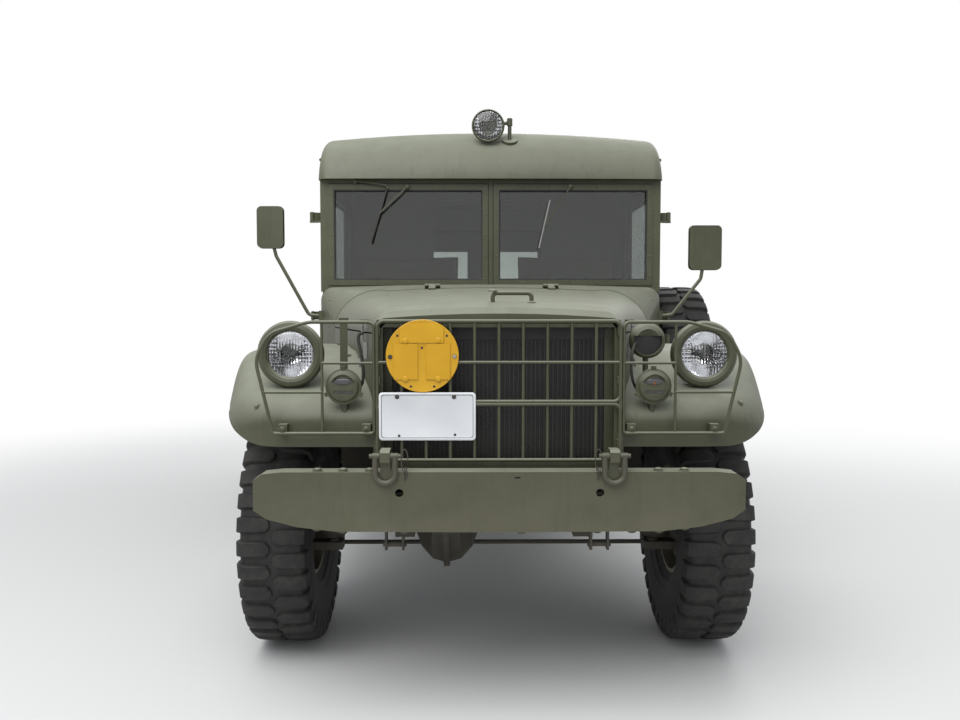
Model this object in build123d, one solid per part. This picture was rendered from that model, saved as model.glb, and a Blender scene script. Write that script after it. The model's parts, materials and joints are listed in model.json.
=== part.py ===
from build123d import *
import math
import os

# Field ambulance truck, four wheel drive, steel box body. Millimetres, +Z up, front towards -Y,
# +X is the driver's side. Origin on the ground, under the middle of the truck.

# Driving dimensions
WHEELBASE = 3200
TRACK = 1575
FRONT_AXLE_Y = -1712
REAR_AXLE_Y = FRONT_AXLE_Y + WHEELBASE
TYRE_R = 465
TYRE_W = 248
TREAD_W = 216
RIM_R = 207
BUMPER_Y = -2524
FRONT_REACH = 2543
SIDE_REACH = 1075

# Ladder frame
RAIL_X = 350
RAIL_W = 60
RAIL_WEB = 7
RAIL_LOW = 625
RAIL_TOP = 775
REAR_END = 2440

# Body
BODY_HALF = 786
WALL = 40
BODY_REAR = 2400
COWL_Y = -1312
SHIELD_Y = -1095
SHIELD_HALF = 752
SHIELD_LOW = 1400
SHIELD_TOP = 1892
POST_Y = -1056
PILLAR_Y = -304
SILL = 700
GUTTER = 2000
ROOF_HALF = 792
CAB_FLOOR = 830
LOAD_FLOOR = 880
DOOR_GAP = 6
ARCH_R = 560

# Windshield panes and the sashes round them
PANE_IN = 38
PANE_OUT = 724
PANE_LOW = 1434
PANE_TOP = 1848
SASH = 25
SASH_PROUD = 5
SASH_GAP = 4

# Nose
NOSE_Y = -2395
NOSE_HALF = 400
NOSE_REAR_HALF = 690
HOOD_LOW = 1222
FENDER_X = 933
GUARD_Y = -2424

# Hinge lines
DOOR_AXIS_X = BODY_HALF + 44
DOOR_AXIS_Y = -1062
SPARE_Y = -585
SPARE_Z = 950
SPARE_X = SIDE_REACH - TYRE_W / 2
KING_X = 640
AXLE_Z = TYRE_R
TIE_Y = FRONT_AXLE_Y + 170
TIE_Z = 346
REAR_DOOR_HALF = 600
STEP_Z = 795


def block(x0, x1, y0, y1, z0, z1):
    return Pos((x0 + x1) / 2, (y0 + y1) / 2, (z0 + z1) / 2) * Box(abs(x1 - x0), abs(y1 - y0), abs(z1 - z0))


def side_plate(points, x0, x1):
    """A plate seen from the side: (y, z) points, as thick as x0 to x1."""
    plane = Plane(origin=(x0, 0, 0), x_dir=(0, 1, 0), z_dir=(1, 0, 0))
    return extrude(plane * make_face(Polyline(*points, close=True)), x1 - x0)


def front_plate(points, y0, y1):
    """A plate seen from the front: (x, z) points, as thick as y0 to y1."""
    plane = Plane(origin=(0, y1, 0), x_dir=(1, 0, 0), z_dir=(0, -1, 0))
    return extrude(plane * make_face(Polyline(*points, close=True)), y1 - y0)


def top_plate(points, z0, z1):
    """A plate seen from above: (x, y) points, as thick as z0 to z1."""
    return extrude(Plane.XY.offset(z0) * make_face(Polyline(*points, close=True)), z1 - z0)


def bar(start, end, radius):
    a = Vector(*start)
    b = Vector(*end)
    return extrude(Plane(origin=a, z_dir=b - a) * Circle(radius), (b - a).length)


def tube_run(points, radius, bend, close=False):
    """A round bar bent along straight runs joined by arcs."""
    path = FilletPolyline(*points, radius=bend, close=close)
    start = path @ 0
    return sweep(Plane(origin=start, z_dir=path % 0) * Circle(radius), path)


def disc_x(x0, x1, y, z, radius):
    return bar((x0, y, z), (x1, y, z), radius)


def disc_y(x, y0, y1, z, radius):
    return bar((x, y0, z), (x, y1, z), radius)


def disc_z(x, y, z0, z1, radius):
    return bar((x, y, z0), (x, y, z1), radius)


def turned_x(points, y, z, side=1):
    """A turned part about a line along X: (x, r) points."""
    face = make_face(Polyline(*[(side * x, r) for x, r in points], close=True))
    return Pos(0, y, z) * revolve(face, Axis.X)


def turned_y(points, x, z):
    """A turned part about a line along Y: (y, r) points."""
    plane = Plane(origin=(x, 0, z), x_dir=(0, 1, 0), z_dir=(1, 0, 0))
    face = plane * make_face(Polyline(*points, close=True))
    return revolve(face, Axis((x, 0, z), (0, 1, 0)))


def other_side(shape):
    return mirror(shape, about=Plane.YZ)


def pair(shape):
    return Compound(children=[shape, other_side(shape)])


def join(pieces):
    whole = pieces[0]
    for piece in pieces[1:]:
        whole = whole + piece
    return whole


def largest(shapes):
    """The one biggest solid of each shape, without cut-off crumbs."""
    return [max(shape.solids(), key=lambda s: s.volume) for shape in shapes]


def save(name, shape):
    export_step(shape, f"parts/{name}.step")


# Ladder frame: two channel rails, the crossmembers between them

def make_frame():
    rail = block(RAIL_X - RAIL_W / 2, RAIL_X + RAIL_W / 2, BUMPER_Y + 8, REAR_END, RAIL_LOW, RAIL_TOP)
    inner = RAIL_X + RAIL_W / 2 - RAIL_WEB
    rail = rail - block(RAIL_X - RAIL_W / 2, inner, BUMPER_Y, REAR_END + 1, RAIL_LOW + RAIL_WEB, RAIL_TOP - RAIL_WEB)
    pieces = [rail, other_side(rail)]
    for y0, y1 in [(-2440, -2390), (-420, -340), (780, 850), (1650, 1700), (2380, REAR_END)]:
        pieces.append(block(-inner, inner, y0, y1, RAIL_LOW + 15, RAIL_LOW + 85))
    return join(pieces)


# Front bumper: pressed channel with rising ends, shackle tongues on its top

# Half outline from the middle of the top edge round the end: x, z, and which way the edge faces in x and z
BUMPER_EDGE = [(0, 800, 0, 1), (670, 800, 0, 1), (728, 794, 0, 1), (755, 776, 1, 1), (755, 682, 1, -1),
               (716, 655, 0, -1), (620, 630, 0, -1), (500, 616, 0, -1), (0, 613, 0, -1)]
BUMPER_DEEP = 70
BUMPER_SKIN = 8
BUMPER_HOLE_X = 308
BUMPER_HOLE_Z = 735


def bumper_face(inset):
    half = [(x - out * inset, z - up * inset) for x, z, out, up in BUMPER_EDGE]
    left = [(-x, z) for x, z in reversed(half[1:-1])]
    return half + left


def make_front_bumper():
    body = front_plate(bumper_face(0), BUMPER_Y, BUMPER_Y + BUMPER_DEEP)
    body = body - front_plate(bumper_face(BUMPER_SKIN), BUMPER_Y + BUMPER_SKIN, BUMPER_Y + BUMPER_DEEP + 1)
    for x in (-BUMPER_HOLE_X, BUMPER_HOLE_X):
        body = body - disc_y(x, BUMPER_Y - 1, BUMPER_Y + BUMPER_SKIN + 1, BUMPER_HOLE_Z, 13)
    body = body - block(45, 63, BUMPER_Y - 1, BUMPER_Y + 9, 779, 785)
    tongue = side_plate([(-2543, 832), (-2543, 862), (-2535, 870), (-2490, 870), (-2465, 812), (-2456, 812),
                         (-2456, 800), (-2523, 800), (-2523, 832)], RAIL_X - 15, RAIL_X + 15)
    tongue = tongue - disc_x(RAIL_X - 16, RAIL_X + 16, -2533.5, 851, 9.3)
    return join([body, tongue, other_side(tongue)])


def make_tow_shackles():
    y = -2533.5
    low = 767
    bow = tube_run([(RAIL_X - 30, y, 851), (RAIL_X - 30, y, low), (RAIL_X + 30, y, low), (RAIL_X + 30, y, 851)],
                   9, 29.5)
    eyes = disc_x(RAIL_X + 17, RAIL_X + 39, y, 851, 9.5) + disc_x(RAIL_X - 39, RAIL_X - 17, y, 851, 9.5)
    pin = disc_x(RAIL_X - 48, RAIL_X + 48, y, 851, 7)
    shackle = join([bow, eyes, pin])
    return pair(shackle)


# Rear: bumperettes and pintle hook

def make_rear_bumperettes():
    horn = side_plate([(REAR_END, 640), (2500, 600), (2515, 600), (2515, 760), (2500, 760), (REAR_END, 720)],
                      420, 720)
    arm = block(380, 420, 2300, REAR_END, 640, 720) + block(380, 720, 2420, REAR_END, 640, 720)
    guard = horn + arm
    return pair(guard)


def make_pintle_hook():
    plate = block(-60, 60, REAR_END, REAR_END + 12, 635, 715)
    shank = disc_y(0, REAR_END + 12, 2490, 675, 26)
    jaw = side_plate([(2485, 645), (2515, 640), (FRONT_REACH, 655), (FRONT_REACH, 690), (2530, 690),
                      (2525, 668), (2510, 662), (2500, 672), (2500, 700), (2485, 705)], -22, 22)
    return join([plate, shank, jaw])


# Axles, knuckles and wheels. The differential's bowl: x, radius, its bolted flange in the middle.
BOWL_SECTION = [(-308, 0), (-308, 50), (-285, 110), (-240, 158), (-196, 170), (-196, 188), (-174, 188),
                (-174, 170), (-130, 158), (-85, 110), (-62, 50), (-62, 0)]


def make_front_axle():
    tube = disc_x(-580, 580, FRONT_AXLE_Y, AXLE_Z, 40)
    bowl = turned_x(BOWL_SECTION, FRONT_AXLE_Y, AXLE_Z) & block(-320, 0, -2000, -1400, 200, 634)
    ball = Pos(KING_X, FRONT_AXLE_Y, AXLE_Z) * Sphere(80)
    snout = disc_y(-185, FRONT_AXLE_Y + 140, FRONT_AXLE_Y + 200, AXLE_Z, 45)
    pads = block(320, 380, FRONT_AXLE_Y - 60, FRONT_AXLE_Y + 60, AXLE_Z + 20, 512)
    lower = block(312, 388, FRONT_AXLE_Y - 65, FRONT_AXLE_Y + 65, 405, AXLE_Z + 20)
    return join([tube, bowl, ball, other_side(ball), snout, pads, other_side(pads), lower, other_side(lower)])


def make_rear_axle():
    tube = disc_x(-745, 745, REAR_AXLE_Y, AXLE_Z, 44)
    bowl = turned_x(BOWL_SECTION, REAR_AXLE_Y, AXLE_Z)
    plate = disc_x(736, 745, REAR_AXLE_Y, AXLE_Z, 170)
    spindle = disc_x(745, 858, REAR_AXLE_Y, AXLE_Z, 32)
    snout = disc_y(-185, REAR_AXLE_Y - 200, REAR_AXLE_Y - 140, AXLE_Z, 45)
    pads = block(320, 380, REAR_AXLE_Y - 60, REAR_AXLE_Y + 60, AXLE_Z - 60, 512)
    pieces = [tube, bowl, snout]
    for piece in (plate, spindle, pads):
        pieces += [piece, other_side(piece)]
    return join(pieces)


def make_knuckle():
    """Driver's side: back plate, king pin arms round the axle's ball, spindle, steering arm."""
    y = FRONT_AXLE_Y
    plate = disc_x(736, 745, y, AXLE_Z, 170)
    web = block(725, 736, y - 40, y + 40, AXLE_Z - 120, AXLE_Z + 120)
    arms = block(600, 736, y - 32, y + 32, AXLE_Z + 90, AXLE_Z + 120)
    low_arm = block(600, 736, y - 32, y + 32, AXLE_Z - 120, AXLE_Z - 90)
    caps = disc_z(KING_X, y, AXLE_Z + 120, AXLE_Z + 132, 30)
    king = disc_z(KING_X, y, AXLE_Z + 80.4, AXLE_Z + 90, 22)
    low_king = disc_z(KING_X, y, AXLE_Z - 90, AXLE_Z - 80.4, 22)
    spindle = disc_x(745, 858, y, AXLE_Z, 32)
    arm = block(KING_X - 16, KING_X + 16, y, TIE_Y, TIE_Z - 12, TIE_Z + 12)
    eye = disc_z(KING_X, TIE_Y, TIE_Z - 12, TIE_Z + 12, 20)
    pin = disc_z(KING_X, TIE_Y, TIE_Z - 32, TIE_Z - 12, 8)
    return join([plate, web, arms, low_arm, caps, king + low_king, spindle, arm, eye, pin])


def make_tie_rod():
    z0 = TIE_Z - 32
    z1 = TIE_Z - 13
    rod = bar((-KING_X, TIE_Y, (z0 + z1) / 2), (KING_X, TIE_Y, (z0 + z1) / 2), 9)
    ends = disc_z(KING_X, TIE_Y, z0, z1, 18)
    rod = join([rod, ends, other_side(ends)])
    for x in (-KING_X, KING_X):
        rod = rod - disc_z(x, TIE_Y, z0 - 1, z1 + 1, 8.3)
    return rod


# (x out from the wheel's middle, radius), once round the half section
WHEEL_SECTION = [
    (-86, 222), (-80, 222), (-80, RIM_R), (80, RIM_R), (80, 222), (86, 222), (86, 199), (34, 199),
    (34, 75), (90, 60), (90, 0), (78, 0), (78, 32.3), (-30, 32.3), (-30, 70), (16, 80), (16, 168),
    (-30, 168), (-30, 178), (26, 178), (26, 199), (-86, 199)]
TYRE_HALF_SECTION = [(80, RIM_R), (80, 222), (TYRE_W / 2 - 10, 262), (TYRE_W / 2, 345), (TREAD_W / 2 + 6, 432),
                     (TREAD_W / 2 - 12, TYRE_R)]
TYRE_SIDES = 48
SPARE_SECTION = [
    (-86, 222), (-80, 222), (-80, RIM_R), (80, RIM_R), (80, 222), (86, 222), (86, 199), (-20, 199),
    (-20, 60), (-28, 60), (-28, 199), (-86, 199)]


def make_wheel(y, side):
    wheel = turned_x(WHEEL_SECTION, y, AXLE_Z)
    wheel = Pos(TRACK / 2, 0, 0) * wheel
    return wheel if side > 0 else other_side(wheel)


def make_tyre():
    """A many-sided ring round the rim: one sector of the section, repeated round the axle."""
    section = [(-across, r) for across, r in TYRE_HALF_SECTION] + list(reversed(TYRE_HALF_SECTION))
    half_turn = math.pi / TYRE_SIDES
    reach = TYRE_R + 20
    plane = Plane(origin=(0, 0, 0), x_dir=(1, 0, 0), z_dir=(0, -1, 0))
    long_sector = extrude(plane * make_face(Polyline(*section, close=True)), 60, both=True)
    side = reach * math.tan(half_turn)
    wedge = side_plate([(0, 0), (side, reach), (-side, reach)], -TYRE_W, TYRE_W)
    sector = long_sector & wedge
    return join([Rot(X=360 * turn / TYRE_SIDES) * sector for turn in range(TYRE_SIDES)])


# Leaf springs with their hangers, four of them
LEAF = 9


def make_spring(axle_y, half):
    pieces = []
    for leaf in range(5):
        reach = half - leaf * half * 0.16
        top = 557 - leaf * LEAF
        foot = top - LEAF
        rise = 60 * (reach / half) ** 2
        low = ThreePointArc((axle_y - reach, foot + rise), (axle_y, foot), (axle_y + reach, foot + rise))
        high = ThreePointArc((axle_y + reach, top + rise), (axle_y, top), (axle_y - reach, top + rise))
        ends = [Line(low @ 1, high @ 0), Line(high @ 1, low @ 0)]
        plane = Plane(origin=(RAIL_X - 25, 0, 0), x_dir=(0, 1, 0), z_dir=(1, 0, 0))
        pieces.append(extrude(plane * make_face([low, ends[0], high, ends[1]]), 50))
    for end in (-1, 1):
        y = axle_y + end * half
        pieces.append(block(RAIL_X - 25, RAIL_X + 25, y - 20, y + 20, 590, RAIL_LOW))
    for side in (-1, 1):
        x = RAIL_X + side * 29
        pieces.append(block(x - 4, x + 4, axle_y - half - 16, axle_y - half + 16, 476, 606))
    pieces.append(disc_x(RAIL_X - 40, RAIL_X + 40, axle_y - half, 494, 9))
    for y in (axle_y - 45, axle_y + 45):
        pieces.append(block(RAIL_X - 34, RAIL_X + 34, y - 9, y + 9, 557, 566))
    return join(pieces)


def make_leaf_springs():
    front = make_spring(FRONT_AXLE_Y, 500)
    rear = make_spring(REAR_AXLE_Y, 640)
    return Compound(children=[front, other_side(front), rear, other_side(rear)])


# Engine, gearbox, transfer case and shafts: what shows from below

def make_powertrain():
    engine = block(-230, 230, -2140, -1380, 640, 1120)
    sump = block(-130, 130, -1500, -1400, 600, 640)
    mounts = block(-343, 343, -1960, -1900, 660, 700) + block(-343, 343, -1450, -1400, 660, 700)
    gearbox = block(-130, 130, -1380, -800, 590, 770)
    tail = disc_y(0, -800, -560, 640, 45)
    transfer = block(-300, 120, -560, -200, 430, RAIL_LOW + 15)
    front_shaft = bar((-185, -560, 520), (-185, FRONT_AXLE_Y + 204, AXLE_Z), 30)
    rear_shaft = bar((-185, -200, 520), (-185, REAR_AXLE_Y - 204, AXLE_Z), 30)
    return join([engine, sump, mounts, gearbox, tail, transfer, front_shaft, rear_shaft])


def make_radiator():
    core = block(-340, 340, -2350, -2280, 800, 1200)
    tank = block(-340, 340, -2356, -2274, 1200, 1245)
    feet = block(-372, 372, -2350, -2300, RAIL_TOP, 800)
    wings = block(-402, 402, -2306, -2300, 800, 1206)
    return join([core, tank, feet, wings])


def make_fuel_tank():
    tank = block(-300, 300, 1720, 2280, 490, 740)
    tank = fillet(tank.edges().filter_by(Axis.X), 40)
    straps = block(-343, 343, 1830, 1870, 740, 748) + block(-343, 343, 2130, 2170, 740, 748)
    return tank + straps


def make_exhaust():
    z = 530
    pipe = tube_run([(-200, -1400, 610), (-300, -1250, z), (-480, -1040, z), (-480, -960, z)], 22, 60)
    muffler = disc_y(-480, -960, -450, z, 68)
    tail = tube_run([(-480, -450, z), (-480, 760, z), (-780, 820, z)], 20, 70)
    hangers = block(-488, -472, -640, -610, z + 60, 660) + block(-488, -380, -640, -610, 655, 670)
    rear_hanger = block(-488, -380, 500, 520, z + 12, z + 24) + block(-390, -380, 500, 520, z + 20, 640)
    return join([pipe, muffler, tail, hangers, rear_hanger])


# Nose, fenders, hood and cowl

def make_nose():
    low = HOOD_LOW - 6
    half = [(NOSE_HALF, RAIL_TOP), (NOSE_HALF, low), (374, low), (374, 1236), (360, 1252)]
    face = front_plate(half + [(-x, z) for x, z in reversed(half)], NOSE_Y - 5, NOSE_Y + 15)
    face = face - block(-368, 368, NOSE_Y - 6, NOSE_Y + 16, 815, 1240)
    skin = 12
    side = top_plate([(NOSE_HALF, NOSE_Y + 15), (NOSE_REAR_HALF, COWL_Y), (NOSE_REAR_HALF - skin, COWL_Y),
                      (NOSE_HALF - skin, NOSE_Y + 15)], 960, low)
    return join([face, side, other_side(side)])


# Crown of the front fender: y, z, shoulder radius, from the front apron's foot to the running board.
# Every section lies in a plane through the line x of FENDER_HUB.
FENDER_APRON = [(-2395, 850, 280), (-2395, 925, 282)]
FENDER_CROWN = [(-2395, 925, 282), (-2384, 970, 275), (-2350, 1004, 252), (-2270, 1038, 195), (-2085, 1104, 88),
                (-1900, 1148, 58), (-1650, 1160, 55), (-1430, 1104, 60), (-1235, 950, 60), (-1120, 760, 60),
                (-1078, 600, 60)]
FENDER_FOOT = 858
FENDER_LIP = [(745, FENDER_FOOT), (852, 889), (930, 975)]
FENDER_HUB = (FRONT_AXLE_Y, 620)
FENDER_SKIN = 14
FENDER_INNER = 330
ARCH_Y = FRONT_AXLE_Y - 28
ARCH_LONG = 575
ARCH_TOP = 1025


def fender_section(y, z, shoulder):
    """The pressed skin cut by one plane: flat crown, round shoulder, outer side."""
    dy = y - FENDER_HUB[0]
    dz = z - FENDER_HUB[1]
    reach = math.hypot(dy, dz)
    plane = Plane(origin=(0, *FENDER_HUB), x_dir=(1, 0, 0), z_dir=(0, dz / reach, -dy / reach))
    sign = 1 if plane.y_dir.Y * dy + plane.y_dir.Z * dz > 0 else -1
    lines = []
    corners = []
    for inset in (0, FENDER_SKIN):
        x = FENDER_X - inset
        top = sign * (reach - inset)
        r = shoulder - inset
        mid = r * (1 - math.sqrt(0.5))
        lines.append(Line((NOSE_HALF - 10, top), (x - r, top)))
        lines.append(ThreePointArc((x - r, top), (x - mid, top - sign * mid), (x, top - sign * r)))
        lines.append(Line((x, top - sign * r), (x, sign * FENDER_INNER)))
        corners.append(((NOSE_HALF - 10, top), (x, sign * FENDER_INNER)))
    lines.append(Line(corners[0][0], corners[1][0]))
    lines.append(Line(corners[0][1], corners[1][1]))
    return plane * make_face(lines)


def make_fender():
    """Driver's side front fender."""
    apron = loft([fender_section(*row) for row in FENDER_APRON], ruled=True)
    crown = loft([fender_section(*row) for row in FENDER_CROWN])
    shell = apron + crown
    arch_plane = Plane(origin=(300, ARCH_Y, 700), x_dir=(0, 1, 0), z_dir=(1, 0, 0))
    shell = shell - extrude(arch_plane * Ellipse(ARCH_LONG, ARCH_TOP - 700), 700)
    # The skirt's front runs forward high up, then round the apron's corner down to its foot.
    high_plane = Plane(origin=(870, ARCH_Y, 800), x_dir=(0, 1, 0), z_dir=(1, 0, 0))
    high = extrude(high_plane * Ellipse(ARCH_LONG + 80, ARCH_TOP - 800), 200)
    shell = shell - (high & block(800, 1100, -2200, ARCH_Y, 700, 1100))
    start, end = FENDER_LIP[0], FENDER_LIP[2]
    below = Polyline(end, (1000, end[1]), (1000, 700), (start[0], 700), start)
    corner = make_face([ThreePointArc(*FENDER_LIP), below])
    shell = shell - extrude(Plane(origin=(0, -2150, 0), x_dir=(1, 0, 0), z_dir=(0, -1, 0)) * corner, 350)
    shell = shell - block(300, 1000, ARCH_Y - ARCH_LONG, ARCH_Y + ARCH_LONG, 0, 700)
    shell = shell - block(300, 1000, -2500, -2000, 0, FENDER_FOOT)
    shell = shell - block(300, 1000, -2000, -1000, 0, 612)
    inner = top_plate([(0, NOSE_Y - 20), (NOSE_HALF, NOSE_Y - 20), (NOSE_HALF, NOSE_Y + 15),
                       (NOSE_REAR_HALF, COWL_Y), (BODY_HALF, COWL_Y), (BODY_HALF, -900), (0, -900)], 500, 1300)
    shell = shell - inner
    return largest([shell])[0]


HOOD_CROWN = 14


def hood_shape(y, half, top, low, shoulder, drop, inset):
    """One section of the hood: low edge, side, shoulder that falls by its drop over its width, crown."""
    z = top - inset - HOOD_CROWN
    x = half - inset
    in_x = x - shoulder + inset
    in_z = z - drop + inset
    mid = 1 - math.sqrt(0.5)
    mid_x = x - mid * (x - in_x)
    mid_z = z - mid * (z - in_z)
    right = ThreePointArc((in_x, z), (mid_x, mid_z), (x, in_z))
    left = ThreePointArc((-x, in_z), (-mid_x, mid_z), (-in_x, z))
    ridge = ThreePointArc((-in_x, z), (0, top - inset), (in_x, z))
    foot = Polyline((x, in_z), (x, low), (-x, low), (-x, in_z))
    plane = Plane(origin=(0, y, 0), x_dir=(1, 0, 0), z_dir=(0, -1, 0))
    return plane * make_face([left, ridge, right, foot])


# y, half width at the side, crown height, width and drop of the shoulder
HOOD_SECTIONS = [(-2406, 395, 1284, 40, 40), (-2385, 398, 1304, 60, 60), (-2340, 408, 1320, 74, 74),
                 (-1320, 688, 1392, 235, 140)]
HOOD_SKIN = 16
HINGE_X = 260
HOOD_AXIS_Y = -1314
HOOD_AXIS_Z = 1402


def make_hood():
    outer = [hood_shape(y, half, top, HOOD_LOW, *shoulder, 0) for y, half, top, *shoulder in HOOD_SECTIONS]
    inner = [hood_shape(y, half, top, HOOD_LOW - 5, *shoulder, HOOD_SKIN)
             for y, half, top, *shoulder in HOOD_SECTIONS[1:]]
    shell = loft(outer, ruled=True)
    hollow = loft(inner, ruled=True)
    hood = shell - hollow
    hood = hood - block(-500, 500, -2450, -2385, 1200, 1264)
    hood = hood - block(-1000, 1000, -1321, -1300, 1000, 1500 - 160)
    handle = tube_run([(-18, -2330, 1312), (-18, -2330, 1350), (108, -2330, 1350), (108, -2330, 1312)], 7, 14)
    pieces = [hood, handle]
    for x in (-HINGE_X, HINGE_X):
        pieces.append(hood_knuckle(x) - disc_x(x - 30, x + 30, HOOD_AXIS_Y, HOOD_AXIS_Z, 4.4))
    return join(pieces)


def hood_knuckle(x):
    """The hood's half of one hinge: a barrel and a strap lying on the hood's rear edge."""
    barrel = disc_x(x - 14, x + 14, HOOD_AXIS_Y, HOOD_AXIS_Z, 8)
    strap = side_plate([(HOOD_AXIS_Y - 2, HOOD_AXIS_Z + 8), (HOOD_AXIS_Y - 2, HOOD_AXIS_Z + 2), (-1329, 1396),
                        (-1334, 1386), (-1400, 1381), (-1400, 1389), (-1334, 1397)], x - 14, x + 14)
    return barrel + strap


def cowl_knuckle(x):
    """The cowl's half of one hinge: two barrels on a foot, with the pin through."""
    pieces = [disc_x(x - 33, x + 33, HOOD_AXIS_Y, HOOD_AXIS_Z, 4)]
    for side in (-1, 1):
        low, high = sorted((x + side * 15, x + side * 33))
        pieces.append(disc_x(low, high, HOOD_AXIS_Y, HOOD_AXIS_Z, 8))
        pieces.append(side_plate([(HOOD_AXIS_Y, HOOD_AXIS_Z + 8), (HOOD_AXIS_Y, HOOD_AXIS_Z - 8), (-1308, 1388),
                                  (-1260, 1388), (-1260, 1400), (-1300, 1402)], low, high))
    return join(pieces)


def make_cowl():
    front = hood_shape(COWL_Y, 690, 1394, SILL, 235, 140, 0)
    back = hood_shape(SHIELD_Y, BODY_HALF, 1414, SILL, 60, 60, 0)
    rear = hood_shape(POST_Y, BODY_HALF, 1414, SILL, 60, 60, 0)
    outer = loft([front, back, rear], ruled=True)
    front_in = hood_shape(COWL_Y + 12, 690, 1394, SILL - 50, 235, 140, 16)
    back_in = hood_shape(SHIELD_Y, BODY_HALF, 1414, SILL - 50, 60, 60, WALL)
    rear_in = hood_shape(POST_Y + 5, BODY_HALF, 1414, SILL - 50, 60, 60, WALL)
    shell = outer - loft([front_in, back_in, rear_in], ruled=True)
    shell = shell - block(-SHIELD_HALF, SHIELD_HALF, SHIELD_Y, POST_Y + 1, SHIELD_LOW - 20, 1500)
    sash_end = PANE_OUT + SASH
    shell = shell - block(-sash_end, sash_end, SHIELD_Y - SASH_PROUD, SHIELD_Y, PANE_LOW - SASH, 1500)
    shell = shell - disc_x(-900, 900, FRONT_AXLE_Y, AXLE_Z, 600)
    post = block(SHIELD_HALF, BODY_HALF, SHIELD_Y, POST_Y, 1380, SHIELD_TOP)
    pieces = [shell, post, other_side(post), cowl_knuckle(-HINGE_X), cowl_knuckle(HINGE_X)]
    for x in (-1, 1):
        for z in (820, 1240, 1700):
            lug = top_plate([(BODY_HALF, -1090), (DOOR_AXIS_X + 9, -1072), (DOOR_AXIS_X + 9, -1055),
                             (DOOR_AXIS_X - 8, -1055), (BODY_HALF, -1064)], z, z + 8)
            pin = disc_z(DOOR_AXIS_X, DOOR_AXIS_Y, z, z + 50, 5)
            piece = lug + pin
            pieces.append(piece if x > 0 else other_side(piece))
    for z in (900, 1130):
        lug = top_plate([(BODY_HALF, -1094), (DOOR_AXIS_X + 12, -1078), (DOOR_AXIS_X + 12, -1054),
                         (DOOR_AXIS_X - 10, -1054), (BODY_HALF, -1062)], z - 10, z)
        pieces.append(lug + disc_z(DOOR_AXIS_X, DOOR_AXIS_Y, z, z + 50, 7))
    return join(pieces)


def make_windshield_frame():
    """Outer frame and the two sashes that hold the glass, a dark gap round each."""
    y_back = SHIELD_Y + 35
    frame = block(-SHIELD_HALF, SHIELD_HALF, SHIELD_Y, y_back, SHIELD_LOW - 20, SHIELD_TOP)
    x0 = PANE_IN - SASH
    x1 = PANE_OUT + SASH
    z0 = PANE_LOW - SASH
    z1 = PANE_TOP + SASH
    sash = block(x0, x1, SHIELD_Y - SASH_PROUD, SHIELD_Y + 8, z0, z1)
    groove = block(x0 - SASH_GAP, x1, SHIELD_Y - 1, SHIELD_Y + 6, z0 - SASH_GAP, z1 + SASH_GAP) - sash
    opening = block(PANE_IN, PANE_OUT, SHIELD_Y - 10, y_back + 1, PANE_LOW, PANE_TOP)
    for side in (1, -1):
        parts = [shape if side > 0 else other_side(shape) for shape in (groove, sash, opening)]
        frame = frame - parts[0] + parts[1] - parts[2]
    return frame


def make_windshield_glass():
    pane = block(PANE_IN, PANE_OUT, SHIELD_Y + 13, SHIELD_Y + 19, PANE_LOW, PANE_TOP)
    return pair(pane)


# Lamps and guards on the nose

def make_grille_guard(fender):
    pieces = []
    for z0, z1 in [(1006, 1260), (820, 997)]:
        loop = [(-384, GUARD_Y, z0), (384, GUARD_Y, z0), (384, GUARD_Y, z1), (-384, GUARD_Y, z1)]
        pieces.append(tube_run(loop, 6, 22, close=True))
    pieces.append(bar((-384, GUARD_Y, 1130), (384, GUARD_Y, 1130), 5))
    for step in range(1, 10):
        x = -384 + 76.8 * step
        pieces.append(bar((x, GUARD_Y + 3, 816), (x, GUARD_Y + 3, 1264), 5))
    for x in (-384, 384):
        for z in (860, 1060, 1215):
            pieces.append(block(x - 9, x + 9, GUARD_Y, NOSE_Y - 5, z, z + 24))
        pieces.append(block(x - 5, x + 5, GUARD_Y - 4, GUARD_Y + 4, 985, 1018))
    main = join(pieces)
    corners = [(394, 905, 12), (394, 1257, 20), (600, 1257, 120), (724, 1222, 80), (768, 1140, 90), (714, 905, 10)]
    lamp = tube_run([(x, GUARD_Y, z) for x, z, bend in corners], 5.5, [bend for x, z, bend in corners], close=True)
    extra = [bar((558, GUARD_Y + 2, 903), (558, GUARD_Y + 2, 1258), 4.5),
             bar((394, GUARD_Y, 1128), (558, GUARD_Y, 1128), 4.5),
             bar((558, GUARD_Y, 1036), (744, GUARD_Y, 1036), 4.5)]
    for x in (420, 684):
        extra.append(block(x - 14, x + 14, GUARD_Y, NOSE_Y, 906, 934))
    side = join([lamp] + extra)
    side = side - block(0, 391.5, GUARD_Y - 20, GUARD_Y + 40, 800, 1300) - fender
    return Compound(children=[main, side, other_side(side)])


# Lamp middles: headlamp, marker lamp and hooded lamp, and the searchlight on the roof
LAMP_X = 685
LAMP_Y = -2285
LAMP_Z = 1149
MARKER = (493, -2418, 1052)
HOODED = (484, -2350, 1196)
SEARCH_X = -12
SEARCH_Y = -1092
SEARCH_Z = 2142
SEARCH_POST_X = 89
SEARCH_POST_Y = -1045
SEARCH_SEAT = 2078
LENS_THICK = 4
POST_X = -500


def make_headlamp():
    """Pressed bucket with a rolled ring, hollow behind the lens, on a short foot."""
    section = [(2, 76), (-6, 82), (-9, 92), (-6, 104), (6, 111), (24, 109), (34, 103), (80, 86), (118, 54),
               (130, 20), (130, 0), (72, 0), (66, 24), (44, 56), (12, 76)]
    bucket = turned_y([(LAMP_Y + back, r) for back, r in section], LAMP_X, LAMP_Z)
    return bucket + disc_z(LAMP_X, LAMP_Y + 50, 1000, 1075, 30)


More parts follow.
